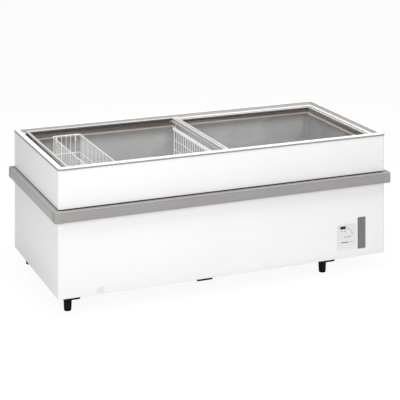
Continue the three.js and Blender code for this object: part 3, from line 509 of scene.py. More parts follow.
PAINT = moulded("white_powder_coat", "white_shell_paint", 0xF6F6F6, 0.38, coat=0.15, variation=0.012)
PLASTIC = moulded("white_satin_plastic", "white_plastic", 0xF8F8F6, 0.42, variation=0.012, depth=0.015)
# Light grey a little darker than the body paint: partly the plastic's own tone and partly painted shade that
# sets the bezel's edges and the drain cap off from the body.
BEZEL = moulded("bezel_plastic", "white_plastic", 0xE8E8E8, 0.45, variation=0.01, depth=0.03)
FRAME = moulded("lid_frame_plastic", "white_plastic", 0xCECCC9, 0.42, variation=0.012, depth=0.015)
HANDLE = moulded("lid_handle_plastic", "white_plastic", 0xE4E2E0, 0.42, variation=0.012, depth=0.015)
# The coated wire glows a little: painted light that lifts its shaded side.
WIRE_COAT = moulded("coated_wire", "coated_wire", 0xFBFBFA, 0.35, coat=0.2, variation=0.01, painted_glow=0.38)
CAP_GREY = moulded("grey_cap_plastic", "bumper_cap_plastic", 0xA19F9D, 0.5, variation=0.03, depth=0.05)
GREY = moulded("mid_grey_plastic", "grey_plastic", 0x8E8E8E, 0.55, variation=0.04, depth=0.05)
MESH_GREY = moulded("mesh_plastic", "grey_plastic", 0xA4A4A4, 0.55, variation=0.04, depth=0.05)
INSERT_GREY = moulded("insert_plastic", "grey_plastic", 0xB6B6B4, 0.5, depth=0.03)
KEY_GREY = moulded("key_plastic", "key_plastic", 0xBDBDBD, 0.45)
DRAIN_GREY = moulded("drain_pipe_plastic", None, 0xA2A2A0, 0.5, variation=0.04)
INK = moulded("printed_ink", "grey_plastic", 0xA4A7AA, 0.5, variation=0.04, depth=0.005)
DARK_INK = moulded("dark_printed_ink", "grey_plastic", 0x5A5C60, 0.45, variation=0.06, depth=0.005)
DISPLAY = moulded("display_window", "display_black", 0x050506, 0.08, variation=0.1, depth=0.002)
DARK_LAMP = moulded("lamp_lens", "display_black", 0x3A3A3C, 0.2, variation=0.05, depth=0.005)
# Painted shade: a near-black strip that darkens the runners' inner faces under the glass.
RUNNER_SHADE = moulded("runner_painted_shade", "seal_rubber", 0x2E2825, 0.7, variation=0.1, depth=0.05)
RUBBER = moulded("seal_rubber", "seal_rubber", 0x222222, 0.8, variation=0.1, depth=0.08)
BLACK_PAINT = moulded("black_chassis_paint", "black_steel", 0x070707, 0.5, variation=0.12, depth=0.04,
                      specular=0.25)
BLACK_PLASTIC = moulded("black_plastic", "black_plastic", 0x060606, 0.6, variation=0.1, depth=0.06,
                        specular=0.25)
COPPER = moulded("copper_tube", None, 0xB56B43, 0.32, metallic=0.95, variation=0.1)
STEEL = moulded("zinc_screws", "galvanised_sheet", 0xB9BABC, 0.3, metallic=0.9, variation=0.05, depth=0.01)
# One aluminium in two tones: the front and back bars are painted darker, as painted shade, and the end bars
# lighter, as painted light.
BRUSHED_X_SHADED = brushed("brushed_bumper_x_shaded", 0xA4A1A0, 0.45, 0.25, "X")
BRUSHED_Y_LIT = brushed("brushed_bumper_y_lit", 0xBBBAB8, 0.45, 0.25, "Y")
TRIM = brushed("trim_aluminium", 0x9C9B99, 0.4, 0.3, "X")
RAIL = rail_finish()
LINER = liner_finish()
GALVANISED = galvanised_finish()
FOAM = foam_finish()
GLASS = glass_finish()


def paint_cad(finish, *names):
    """Gives carried-over CAD nodes a finish."""
    for name in names:
        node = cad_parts[name]
        node.data.materials.clear()
        node.data.materials.append(finish)


# ---- Small hardware ----

def screw_head(at, axis, radius):
    """A pan-head screw with a round recess."""
    rise = radius * 0.5
    recess = radius * 0.45
    profile = [
        (0, rise * 0.3), (recess, rise * 0.3), (recess, rise), (radius * 0.75, rise * 0.9),
        (radius, rise * 0.4), (radius, 0), (0, 0),
    ]
    return turned(profile, at, axis, segments=18)


def add_screws(name, places, radius=4 * MM, body="cabinet"):
    """Screws at (point, axis) places, as one piece."""
    add(name, together([screw_head(at, axis, radius) for at, axis in places]), STEEL, body)


# ---- Painted body ----

def opening_for(node, y, inset):
    """A cutter through the wall at y, inset from a CAD node's edges."""
    low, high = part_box(node)
    through = 9 * MM
    return block((low.x + inset, y - through, low.z + inset), (high.x - inset, y + through, high.z - inset))


def build_body():
    top = LOWER[1].z
    flange = 18 * MM
    outline = rounded([
        (0, SKIRT, 2.2), (0, top, 0.4), (SHEET, top, 0),
        (SHEET, SKIRT + SHEET, 0), (flange, SKIRT + SHEET, 0), (flange, SKIRT, 0),
    ])
    lower = add("lower_cladding", ring(outline), PAINT, node="lower_shell")
    carve(lower, opening_for("vent_grille", -HALF_Y, 4 * MM), opening_for("rear_cover", HALF_Y, 12 * MM))

    foot = UPPER[0].z
    top = UPPER[1].z
    roll = 5.5 * MM
    outline = rounded([
        (0, foot, 3.5), (0, top, 0.4), (SHEET, top, 0),
        (SHEET, foot + 8 * MM, 0), (roll, foot + 2.4 * MM, 0), (roll, foot, 0),
    ])
    add("upper_cladding", ring(outline), PAINT, node="upper_shell")


def build_bumper():
    """Four grooved extrusions and four moulded corner caps."""
    low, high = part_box("bumper_front")
    out = -HALF_Y - low.y
    inner = high.y + HALF_Y
    groove = 1.0 * MM
    bead = [
        (-out, 0, 3.2), (-out, 7 * MM, 0.3), (groove - out, 7.6 * MM, 0),
        (groove - out, 8.6 * MM, 0), (-out, 9.2 * MM, 0.3),
    ]
    outline = rounded([
        (inner, high.z, 0), (-5 * MM, high.z, 0), (-5 * MM, high.z - groove, 0),
        (-7 * MM, high.z - groove, 0), (-7 * MM, high.z, 0),
        *[(u, high.z - drop, radius) for u, drop, radius in bead],
        *[(u, low.z + rise, radius) for u, rise, radius in reversed(bead)],
        (inner, low.z, 0),
    ], 3)
    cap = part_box("bumper_corner_front_left")
    leg = cap[1].x + HALF_X + out
    for side in SIDES:
        # The front and back bars take the darker copy and the end bars the lighter one: painted shade and
        # painted light.
        finish = BRUSHED_X_SHADED if side in ("front", "back") else BRUSHED_Y_LIT
        bar = side_bar(outline, side, lambda run, depth: run + out - leg - 0.3 * MM)
        add(f"bumper_extrusion_{side}", bar, finish, node=f"bumper_{side}")

    proud = cap[1].z - high.z
    bottom = low.z - proud
    top = high.z + proud
    shell = rounded([
        (inner, top, 0), (-out - proud, top, 4.5), (-out - proud, bottom, 4.5), (inner, bottom, 0),
    ])
    for sign_x, across in ((-1, "left"), (1, "right")):
        for sign_y, along in ((-1, "front"), (1, "back")):
            build_bumper_cap(f"{along}_{across}", sign_x, sign_y, shell, out, leg)


def build_bumper_cap(name, sign_x, sign_y, outline, out, leg):
    """One moulded corner cap: the bumper's section taken round the corner, with a screw on each leg."""
    radius = 14 * MM
    steps = 8
    face = out + 1 * MM
    end_x = HALF_X + out - leg
    end_y = HALF_Y + out - leg
    sections = [[(end_x, HALF_Y - depth, z) for depth, z in outline]]
    for k in range(steps + 1):
        angle = math.radians(90 * (1 - k / steps))
        points = []
        for depth, z in outline:
            reach = max(radius - (face + depth), 0)
            short = max(face + depth - radius, 0)
            x = HALF_X + face - radius - short + reach * math.cos(angle)
            y = HALF_Y + face - radius - short + reach * math.sin(angle)
            points.append((x, y, z))
        sections.append(points)
    sections.append([(HALF_X - depth, end_y, z) for depth, z in outline])
    placed = [[(sign_x * x, sign_y * y, z) for x, y, z in section] for section in sections]
    add(f"corner_cap_{name}", loft(bmesh.new(), placed), CAP_GREY, node=f"bumper_corner_{name}", sharp=30)
    middle = (outline[0][1] + outline[-1][1]) / 2
    inset = 14 * MM
    add_screws(f"corner_screws_{name}", [
        ((sign_x * (HALF_X + face), sign_y * (end_y + inset), middle), "+X" if sign_x > 0 else "-X"),
        ((sign_x * (end_x + inset), sign_y * (HALF_Y + face), middle), "+Y" if sign_y > 0 else "-Y"),
    ], 3.5 * MM)


# ---- Rim, trim and rails ----

def build_rim():
    """The white rim, which rises inwards, and the trim round its outer edge."""
    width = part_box("left_lid_front_runner")[0].y + HALF_Y - 5 * MM
    bottom = RIM_EDGE - 8 * MM
    wall = 2.5 * MM
    slope = 10 * MM
    profile = rounded([
        (0, bottom, 0), (0, RIM_EDGE + 0.3 * MM, 2), (slope, RIM_CREST - 0.6 * MM, 5),
        (width, RIM_CREST, 2.6), (width, RIM[0].z, 0), (width - wall, RIM[0].z, 0),
        (width - wall, RIM_CREST - wall, 0), (slope, RIM_EDGE + 0.6 * MM, 0),
        (wall, RIM_EDGE - wall, 0), (wall, bottom, 0),
    ], 5)
    add("rim_moulding", ring(profile, steps=10), PLASTIC, node="rim_cap")

    low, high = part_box("rim_trim")
    out = high.y - HALF_Y
    back = -0.3 * MM
    trim = rounded([(back, low.z, 0), (-out, low.z, 1.6), (-out, high.z, 1.6), (back, high.z, 0)])
    add("edge_trim", ring(trim, steps=10), TRIM, node="rim_trim")


def build_rails():
    """The stepped rails: two ledges for the lids' runners, and a lip for the basket and the divider."""
    low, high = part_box("rail_front")
    outer = low.y + HALF_Y + 2.5 * MM
    lip = high.y + HALF_Y
    inner = lip - LIP_WIDTH
    wall = 2.5 * MM
    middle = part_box("right_lid_front_runner")[0].y + HALF_Y - 2 * MM
    under = LOWER_LEDGE - wall
    profile = rounded([
        (outer, high.z, 0), (outer, UPPER_LEDGE, 1.2), (middle, UPPER_LEDGE, 1), (middle, LOWER_LEDGE, 1.2),
        (inner, LOWER_LEDGE, 1), (inner, LIP_TOP, 1.5), (lip, LIP_TOP, 1.8), (lip, low.z, 1.8),
        (inner - wall, low.z, 0), (inner - wall, under, 0), (middle - wall, under, 0),
        (middle - wall, UPPER_LEDGE - wall, 0), (outer - wall, UPPER_LEDGE - wall, 0),
        (outer - wall, high.z, 0),
    ])
    for side in SIDES:
        rail = side_bar(profile, side, lambda run, depth: run - depth - 0.2 * MM)
        add(f"stepped_rail_{side}", rail, RAIL, node=f"rail_{side}")


# ---- Tank ----

def build_tank():
    """The liner: a coved tank with a raised floor over the machine compartment."""
    low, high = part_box("inner_liner")
    floor = low.z + SHEET
    inside_x = high.x - SHEET
    inside_y = high.y - SHEET
    points = [v.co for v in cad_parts["inner_liner"].data.vertices]
    step_floor = sorted({round(p.z, 5) for p in points})[-2]
    step_x = max(p.x for p in points if p.z < floor + 1 * MM) - SHEET
    outline = [
        (-inside_x, high.z), (-inside_x, floor), (step_x, floor),
        (step_x, step_floor), (inside_x, step_floor), (inside_x, high.z),
    ]
    bm = prism(outline, "Y", -inside_y, inside_y)
    bmesh.ops.remove_doubles(bm, verts=bm.verts, dist=WELD)

    def is_step_edge(edge):
        return all(abs(v.co.x - step_x) < NEAR and abs(v.co.z - step_floor) < NEAR for v in edge.verts)

    # The step's outer edge stays sharp, because foam fills the corner right behind it.
    coved = [e for e in bm.edges if min(v.co.z for v in e.verts) < high.z - 1 * MM and not is_step_edge(e)]
    bmesh.ops.bevel(bm, geom=coved, offset=16 * MM, segments=5, profile=0.5, affect="EDGES")
    mouth = [f for f in bm.faces if abs(f.calc_center_median().z - high.z) < 1 * MM and abs(f.normal.z) > 0.9]
    bmesh.ops.delete(bm, geom=mouth, context="FACES")
    tank = add("tank_liner", bm, LINER, node="inner_liner", sharp=50)
    skin = tank.modifiers.new("sheet", "SOLIDIFY")
    skin.thickness = 1 * MM
    skin.offset = 1


# ---- Lids ----

GLASS_GROOVE = 8 * MM
RUNNER_SHADE_WIDTH = 1.6 * MM
HANDLE_INSET = 8 * MM  # the moulded handle bar is this much narrower than the CAD one
HANDLE_BANDS = (7 * MM, 9 * MM, 27 * MM)  # the end of the outer ridge, then the sunk band's two edges
INSERT_DEPTH = 2.6 * MM


def runner_side(low, top):
    """A runner's outer side: a low flange that guides it on its ledge."""
    flange = 4 * MM
    return [(0, low, 0.6), (0, low + flange, 0.8), (flange, low + flange, 0.5), (flange, top, 2)]


def end_side(low, top):
    return [(0, low, 0.8), (0, top, 2)]


def handle_side(low, top):
    """The handle bar's free side: a ridge, a sunk band for the grip insert and the rise behind it."""
    ridge, near, far = HANDLE_BANDS
    sunk = top - INSERT_DEPTH
    return [
        (0, low, 0.8), (0, top, 3), (ridge, top, 1),
        (near, sunk, 1), (far, sunk, 1), (far + 1.5 * MM, top, 1),
    ]


def add_bar(part, piece, bar, finish, axis, toward, side, inset=0.0, edge=2.6):
    """A lid's frame bar along an axis, with a groove for the glass. Returns where its outer side is.

    side gives its outer corners and toward is the way across it to the glass, +1 or -1.
    """
    low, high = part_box(f"{part}_{bar}")
    pane_low, pane_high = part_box(f"{part}_glass")
    along = "XY".index(axis)
    across = 1 - along
    start = low[across] + inset if toward > 0 else high[across] - inset
    width = high[across] - low[across] - inset
    lip = 0.4 * MM
    outline = rounded([
        *side(low.z, high.z),
        (width, high.z, edge),
        (width, pane_high.z + lip, 0), (width - GLASS_GROOVE, pane_high.z + lip, 0),
        (width - GLASS_GROOVE, pane_low.z - lip, 0), (width, pane_low.z - lip, 0),
        (width, low.z, 0.8),
    ])
    bm = prism([(start + toward * u, z) for u, z in outline], axis, low[along], high[along])
    add(f"{part}_{piece}", bm, finish, part, f"{part}_{bar}")
    return start


def build_lid(name, sign):
    """One framed lid. sign is -1 for the left lid and 1 for the right one."""
    part = f"{name}_lid"
    add_bar(part, "front_frame", "front_runner", FRAME, "X", 1, runner_side)
    add_bar(part, "back_frame", "back_runner", FRAME, "X", -1, runner_side)
    add_bar(part, "end_frame", "end_bar", FRAME, "Y", -sign, end_side)
    free = add_bar(part, "handle", "handle_bar", HANDLE, "Y", sign, handle_side, HANDLE_INSET, 2.4)
    build_handle_insert(part, sign, free)
    build_runner_shade(part)
    add(f"{part}_pane", block(*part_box(f"{part}_glass"), 0.8), GLASS, part, f"{part}_glass")


def build_runner_shade(part):
    """Dark strips along both runners, under the pane and over it, in the form of glazing rubber; their
    near-black is painted shade on the runners' inner faces.
    """
    pane_low, pane_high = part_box(f"{part}_glass")
    gap = 0.2 * MM
    strips = []
    for side, toward in (("front", 1), ("back", -1)):
        low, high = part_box(f"{part}_{side}_runner")
        face = high.y if toward > 0 else low.y
        near, far = sorted((face - toward * 0.5 * MM, face + toward * RUNNER_SHADE_WIDTH))
        for bottom, top in ((low.z + 0.3 * MM, pane_low.z - gap), (pane_high.z + gap, high.z - 1.2 * MM)):
            strips.append(block((pane_low.x + GLASS_GROOVE, near, bottom),
                                (pane_high.x - GLASS_GROOVE, far, top), 0.4))
    add(f"{part}_runner_shade", together(strips), RUNNER_SHADE, part)


def build_handle_insert(part, sign, free):
    """The ribbed grip insert in the handle bar's sunk band, with a screw near each end."""
    low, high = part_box(f"{part}_handle_bar")
    near, far = HANDLE_BANDS[1:]
    base = high.z - INSERT_DEPTH + 0.1 * MM
    face = high.z - 1.0 * MM
    shoulder = face - 0.5 * MM
    ribs = 9
    edge = 0.8 * MM
    pitch = (far - near - 2 * edge) / ribs
    outline = [(near + edge, base)]
    for k in range(ribs):
        u = near + edge + pitch * k
        outline += [(u, shoulder), (u + 0.3 * pitch, face), (u + 0.7 * pitch, face)]
    outline += [(far - edge, shoulder), (far - edge, base)]
    outline = [(free + sign * u, z) for u, z in outline]
    inset = 26 * MM
    insert = prism(outline, "Y", low.y + inset, high.y - inset)
    add(f"{part}_grip_insert", insert, INSERT_GREY, part)
    x = free + sign * (near + far) / 2
    places = [((x, y, high.z - INSERT_DEPTH), "+Z") for y in (low.y + inset / 2, high.y - inset / 2)]
    add_screws(f"{part}_screws", places, 3.5 * MM, part)


def build_lids():
    """Both lids, and the brush strip under the left one."""
    build_lid("left", -1)
    build_lid("right", 1)
    low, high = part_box("lid_seal_strip")
    count = 5
    width = (high.x - low.x) / count
    root = low.z + 1 * MM
    outline = [(low.x, high.z), (low.x, root)]
    for k in range(count):
        x = low.x + width * k
        outline += [(x + width / 2, low.z), (x + width, root)]
    outline.append((high.x, high.z))
    add("lid_seal_brush", prism(outline, "Y", low.y, high.y), RUBBER, "left_lid", "lid_seal_strip")


# ---- Wire basket and divider ----

def spaced(low, high, pitch):
    """Evenly spaced values between low and high, about a pitch apart, without the two ends."""
    count = max(1, round((high - low) / pitch))
    return [low + (high - low) * k / count for k in range(1, count)]


def build_basket():
    """Three rings, hoops both ways under them, and four hooks over the rail's lip."""
    low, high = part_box("wire_basket")
    thick = 3 * MM
    middling = 2 * MM
    thin = 1.6 * MM
    x0 = low.x + thick
    x1 = high.x - thick
    y1 = -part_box("rail_front")[1].y - 3 * MM - thick
    y0 = -y1
    z0 = low.z + thick
    top = high.z - thick
    line = rounded([(x, y, 14) for x, y in ((x0, y0), (x1, y0), (x1, y1), (x0, y1))], 5)
    parts = []
    for z, radius in ((top, thick), (z0 + 0.5 * (top - z0), middling), (z0, middling)):
        points = [(x, y, z) for x, y in line]
        parts.append(wire(points + points[:2], radius))
    foot = z0 - thin
    hoops = [[(x0, y, top), (x0, y, foot), (x1, y, foot), (x1, y, top)] for y in spaced(y0, y1, 26 * MM)]
    foot -= thin
    hoops += [[(x, y0, top), (x, y0, foot), (x, y1, foot), (x, y1, top)] for x in spaced(x0, x1, 30 * MM)]
    parts += [wire(fillet(path, 12 * MM), thin, 6) for path in hoops]
    over = LIP_TOP + 9 * MM
    inset = 26 * MM
    for x in (x0 + inset, x1 - inset):
        for end in (-1, 1):
            inner = end * y1
            reach = end * (high.y - 3 * MM)
            tip = (x, reach, LIP_TOP + 3 * MM)
            path = [(x, inner, top - 40 * MM), (x, inner, over), (x, reach, over), tip]
            parts.append(wire(fillet(path, 2.6 * MM), 2.4 * MM))
    add("basket_wires", together(parts), WIRE_COAT, "basket", "wire_basket", weld=False)


def build_divider():
    """A coated tube across the tank, a forked clip at each end that hooks over the lip, and a wire grid."""
    low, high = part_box("divider_bar")
    grid_low, grid_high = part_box("divider_grid")
    x = (low.x + high.x) / 2
    radius = (high.x - low.x) / 2
    tube_z = low.z + radius
    wall = 4 * MM
    body_y = grid_high.y
    bar = wire([(x, y, tube_z) for y in (-body_y + wall, body_y - wall)], radius - 0.5 * MM, 32)
    add("divider_tube", bar, WIRE_COAT, "divider", "divider_bar")
    arm = 4.5 * MM
    notch = tube_z + radius + 1 * MM
    fork = rounded([
        (low.x, low.z, 4), (high.x, low.z, 4), (high.x, high.z, 1.5), (high.x - arm, high.z, 0.8),
        (high.x - arm, notch, 2), (low.x + arm, notch, 2), (low.x + arm, high.z, 0.8), (low.x, high.z, 1.5),
    ], 5)
    clips = []
    for end in (-1, 1):
        inner, outer = sorted((end * (body_y - wall), end * body_y))
        clips.append(prism(fork, "Y", inner, outer))
        inner, outer = sorted((end * (body_y - 1 * MM), end * high.y))
        for side in (low.x, high.x - arm):
            clips.append(block((side, inner, high.z - wall), (side + arm, outer, high.z)))
    add("divider_clips", together(clips), PLASTIC, "divider", weld=False)

    thick = 2.6 * MM
    thin = 1.6 * MM
    y0 = grid_low.y + thick
    y1 = grid_high.y - thick
    z0 = grid_low.z + thick
    z1 = grid_high.z + 3 * MM
    parts = [wire(fillet([(x, y0, z1), (x, y0, z0), (x, y1, z0), (x, y1, z1)], 18 * MM), thick)]
    for y in spaced(y0, y1, 38 * MM):
        parts.append(wire([(x + thin, y, z0), (x + thin, y, z1)], thin, 6))
    for z in spaced(z0, z1, 62 * MM):
        parts.append(wire([(x - thin, y0, z), (x - thin, y1, z)], thin, 6))
    add("divider_wires", together(parts), WIRE_COAT, "divider", "divider_grid", weld=False)


# ---- Control panel ----

def build_controls():
    """The bezel with its sunk face, the display, two lamps, three keys and plain printed marks."""
    low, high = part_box("control_bezel")
    width = high.x - low.x
    height = high.z - low.z
    display_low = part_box("display_window")[0]
    recess = display_low.y + 0.5 * MM
    bezel = add("panel_bezel", plate_for("control_bezel", 0, low.y, -HALF_Y - 0.3 * MM, 6), BEZEL,
                node="control_bezel", edge=0.9)
    carve(bezel, plate_for("control_bezel", 5 * MM, low.y - 5 * MM, recess, 3))
    window = plate_for("display_window", 0, display_low.y - 0.3 * MM, recess + 1 * MM, 2.5)
    add("display_lens", window, DISPLAY, node="display_window", edge=0.5)

    lens = mm((0, 1.6), (2, 1.2), (3.2, 0.4), (3.6, 0), (0, -1))
    lamps = []
    for across in (0.26, 0.43):
        lamps.append(turned(lens, (low.x + across * width, recess, display_low.z - 12 * MM), "-Y", 20))
    add("indicator_lamps", together(lamps), DARK_LAMP)
    for name in ("minus", "set", "plus"):
        build_key(name)

    back = recess + 0.2 * MM
    face = recess - 0.25 * MM
    centre = (low.x + 0.5 * width, low.z + 0.51 * height)
    arcs = []
    for radius, thickness in ((46 * MM, 2.4 * MM), (40 * MM, 1 * MM)):
        arcs.append(arc_band(centre, radius, thickness, 5, 85, face, back))
    add("printed_arc", together(arcs), INK)
    z = low.z + 0.23 * height
    for name, start, stop, half, corner, finish in (
        ("printed_strip", 0.22, 0.64, 2.4 * MM, 1.5, DARK_INK),
        ("printed_strip_end", 0.66, 0.88, 1.2 * MM, 1, INK),
    ):
        span = (low.x + start * width, low.x + stop * width)
        add(name, plate(span, (z - half, z + half), face, back, corner), finish)


def arc_band(centre, radius, thickness, start, stop, face, back, steps=14):
    """A flat arc, seen from the front, from one angle to another in degrees."""
    outer = []
    inner = []
    for k in range(steps + 1):
        angle = math.radians(start + (stop - start) * k / steps)
        for line, reach in ((outer, radius), (inner, radius - thickness)):
            line.append((centre[0] + reach * math.cos(angle), centre[1] + reach * math.sin(angle)))
    return prism(outer + inner[::-1], "Y", face, back)


def build_key(name):
    """A key cap with its mark: a bar, a ring or a plus."""
    low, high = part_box(f"key_{name}")
    part = f"key_{name}"
    add(f"key_cap_{name}", block(low, high, 1.6, 3), KEY_GREY, part, part)
    x = (low.x + high.x) / 2
    z = (low.z + high.z) / 2
    face = low.y - 0.15 * MM
    back = low.y + 0.3 * MM
    arm = 2.6 * MM
    stroke = 0.55 * MM
    if name == "set":
        mark = arc_band((x, z), arm, 2 * stroke, 0, 359, face, back, 24)
    else:
        bars = [plate((x - arm, x + arm), (z - stroke, z + stroke), face, back, 0.3)]
        if name == "plus":
            bars.append(plate((x - stroke, x + stroke), (z - arm, z + arm), face - 0.02 * MM, back, 0.3))
        mark = together(bars)
    add(f"key_mark_{name}", mark, DARK_INK, part)


# ---- Vent grille and rear cover ----

def build_grille():
    low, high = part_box("vent_grille")
    border = 3.5 * MM
    surround = add("grille_frame", plate_for("vent_grille", 0, low.y, high.y, 3), GREY,
                   node="vent_grille", edge=0.4)
    carve(surround, plate_for("vent_grille", border, low.y - 5 * MM, high.y + 5 * MM, 1.5))
    rib = 1.7 * MM
    pitch = 10 * MM
    y = low.y + 1 * MM
    parts = []
    for x in spaced(low.x + border, high.x - border, pitch):
        parts.append(wire([(x, y, low.z + border / 2), (x, y, high.z - border / 2)], rib, 6))
    y = low.y + 1.1 * MM
    for z in spaced(low.z + border, high.z - border, pitch):
        parts.append(wire([(low.x + border / 2, y, z), (high.x - border / 2, y, z)], rib, 6))
    add("grille_mesh", together(parts), MESH_GREY, weld=False)


def build_rear_cover():
    """The pressed service cover: louvres that open downwards, and a screw in each corner."""
    low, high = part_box("rear_cover")
    back = high.y - 0.3 * MM
    cover = add("service_cover", plate_for("rear_cover", 0, low.y, back, 8), PAINT,
                node="rear_cover", edge=0.4)
    side = 32 * MM
    first = 26 * MM
    pitch = 16.5 * MM
    x0 = low.x + side
    x1 = high.x - side
    openings = []
    louvres = []
    for k in range(12):
        z = low.z + first + k * pitch
        openings.append(block((x0, low.y - 5 * MM, z), (x1, high.y + 5 * MM, z + 7 * MM)))
        hood = [(low.y + u, z + v) for u, v in mm((0.4, 8))]
        hood += [(high.y + u, z + v) for u, v in mm((1.2, 6), (5, 1), (4.2, 0.6), (0.6, 5))]
        hood += [(low.y + u, z + v) for u, v in mm((0.4, 6.8))]
        louvres.append(prism(hood, "X", x0 - 1 * MM, x1 + 1 * MM))
    carve(cover, together(openings))
    add("service_cover_louvres", together(louvres), PAINT, weld=False)
    inset = 8 * MM
    corners = [(x, z) for x in (low.x + inset, high.x - inset) for z in (low.z + inset, high.z - inset)]
    add_screws("service_cover_screws", [((x, back, z), "+Y") for x, z in corners])


# ---- Understructure ----

def mirrored(corners):
    """Corners on the other side of u = 0, in the order that carries the outline on."""
    return [(-u, v, radius) for u, v, radius in reversed(corners)]


def build_beams():
    """Three pressed hat-section beams with slots, closed ends and bolts."""
    wall = 2.5 * MM
    shoulder = 50 * MM
    web = 45 * MM
    inset = 1 * MM
    slot_x = 14 * MM
    slot_y = 5 * MM
    slot_rows = (-0.22, 0, 0.22)
    bolt_x = 57 * MM
    bolt_end = 60 * MM
    bolt_middle = 0.1
    for name in ("left", "centre", "right"):
        low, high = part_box(f"beam_{name}")
        x = (low.x + high.x) / 2
        flange = (high.x - low.x) / 2
        step = high.z - wall
        outer = [(flange, high.z, 0), (flange, step, 0), (shoulder, step, 3), (web, low.z, 3)]
        inner = [(web - wall, low.z + wall, 1), (shoulder - wall, high.z, 0)]
        outline = rounded(outer + mirrored(outer) + mirrored(inner) + inner)
        bm = prism([(x + u, z) for u, z in outline], "Y", low.y, high.y)
        beam = add(f"cross_beam_{name}", bm, BLACK_PAINT, node=f"beam_{name}")
        through = 5 * MM
        carve(beam, *[block((x - slot_x, y - slot_y, low.z - through),
                            (x + slot_x, y + slot_y, low.z + through), 4)
                      for y in slot_rows])
        end = [
            (x - shoulder + inset, high.z), (x - web + inset, low.z + inset),
            (x + web - inset, low.z + inset), (x + shoulder - inset, high.z),
        ]
        ends = [prism(end, "Y", y, y + wall) for y in (low.y, high.y - wall)]
        add(f"beam_ends_{name}", together(ends), BLACK_PAINT)
        places = [((x + side * bolt_x, y, step), "-Z")
                  for y in (low.y + bolt_end, bolt_middle, high.y - bolt_end) for side in (-1, 1)]
        add_screws(f"beam_bolts_{name}", places, 5 * MM)


def build_feet():
    """Levelling feet: a ribbed cup, a threaded stud that turns with it, and a nut on the beam."""
    beam_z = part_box("beam_left")[0].z
    cup_top = beam_z - 0.5 * MM
    for name in ("front_left", "front_right", "back_left", "back_right"):
        foot = f"foot_{name}"
        low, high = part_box(foot)
        x = (low.x + high.x) / 2
        y = (low.y + high.y) / 2
        wide = (high.x - low.x) / 2
        narrow = 20.5 * MM
        groove = 0.9 * MM
        profile = [(0, 0), (narrow - 2.5 * MM, 0), (narrow - 0.6 * MM, 0.8 * MM), (narrow, 3 * MM)]
        for k in range(3):
            z = 6 * MM + 4 * MM * k
            taper = narrow + (wide - narrow) * z / cup_top
            profile += [(taper, z), (taper - groove, z + 0.7 * MM), (taper - groove, z + 1.5 * MM),
                        (taper, z + 2.2 * MM)]
        profile += [(wide - u, cup_top - v) for u, v in mm((0.3, 4), (0, 2.5), (1, 0.4), (2, 0))]
        profile.append((0, cup_top))
        add(f"foot_cup_{name}", turned(profile, (x, y, 0), "+Z", 40), BLACK_PLASTIC, foot, foot)
        pitch = 1.5 * MM
        z = cup_top - 1 * MM
        stud = [(0, z)]
        while z < high.z - 1.5 * MM:
            stud += [(5 * MM, z + 0.5 * pitch), (4.3 * MM, z + pitch)]
            z += pitch
        stud += [(3.8 * MM, high.z), (0, high.z)]
        add(f"foot_stud_{name}", turned(stud, (x, y, 0), "+Z", 16), STEEL, foot)
        profile = mm((5.6, 0), (10.5, 0), (11, 0.8), (11, 10.2), (10.5, 11), (5.6, 11), (5.6, 0))
        nut = turned(profile, (x, y, beam_z + 2.5 * MM), "+Z", 6)
        add(f"foot_nut_{name}", nut, STEEL, sharp=20)


# ---- Drain ----

def build_drain():
    """The fluted drain cap with its grip, and the flange in the tank floor."""
    low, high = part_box("drain_cap")
    x = (low.x + high.x) / 2
    z = (low.z + high.z) / 2
    radius = (high.x - low.x) / 2
    rise = -HALF_Y - low.y
    profile = [(u, rise - v) for u, v in mm((0, 1.6), (6, 1.6), (7, 0.2))]
    profile += [(radius - u, rise - v) for u, v in mm((4, 0), (2, 0.8), (0.8, 2.4))]
    profile += [(radius, 1.4 * MM), (radius, 0.3 * MM), *mm((9, 0.3), (9, -12), (8, -14), (0, -14))]
    cap = turned(profile, (x, -HALF_Y, z), "-Y", 96, flutes=24, flute_depth=0.7 * MM,
                 flute_from=radius - 1 * MM)
    add("drain_cap_turned", cap, BEZEL, "drain_plug", "drain_cap")
    half_x = 9 * MM
    half_z = 1.4 * MM
    grip = block((x - half_x, low.y - 0.2 * MM, z - half_z), (x + half_x, low.y + 3 * MM, z + half_z), 0.8, 3)
    add("drain_cap_grip", grip, BEZEL, "drain_plug")
    at = (x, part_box("drain_pipe")[1].y - 12 * MM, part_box("inner_liner")[0].z + SHEET)
    profile = mm((9.5, 0.1), (15, 0.1), (17, 0.6), (16.5, 1.6), (12, 2.4), (9.5, 1.8), (9.5, 0.1))
    add("drain_flange", turned(profile, at, "+Z", 32), PLASTIC)


# ---- Power cord ----

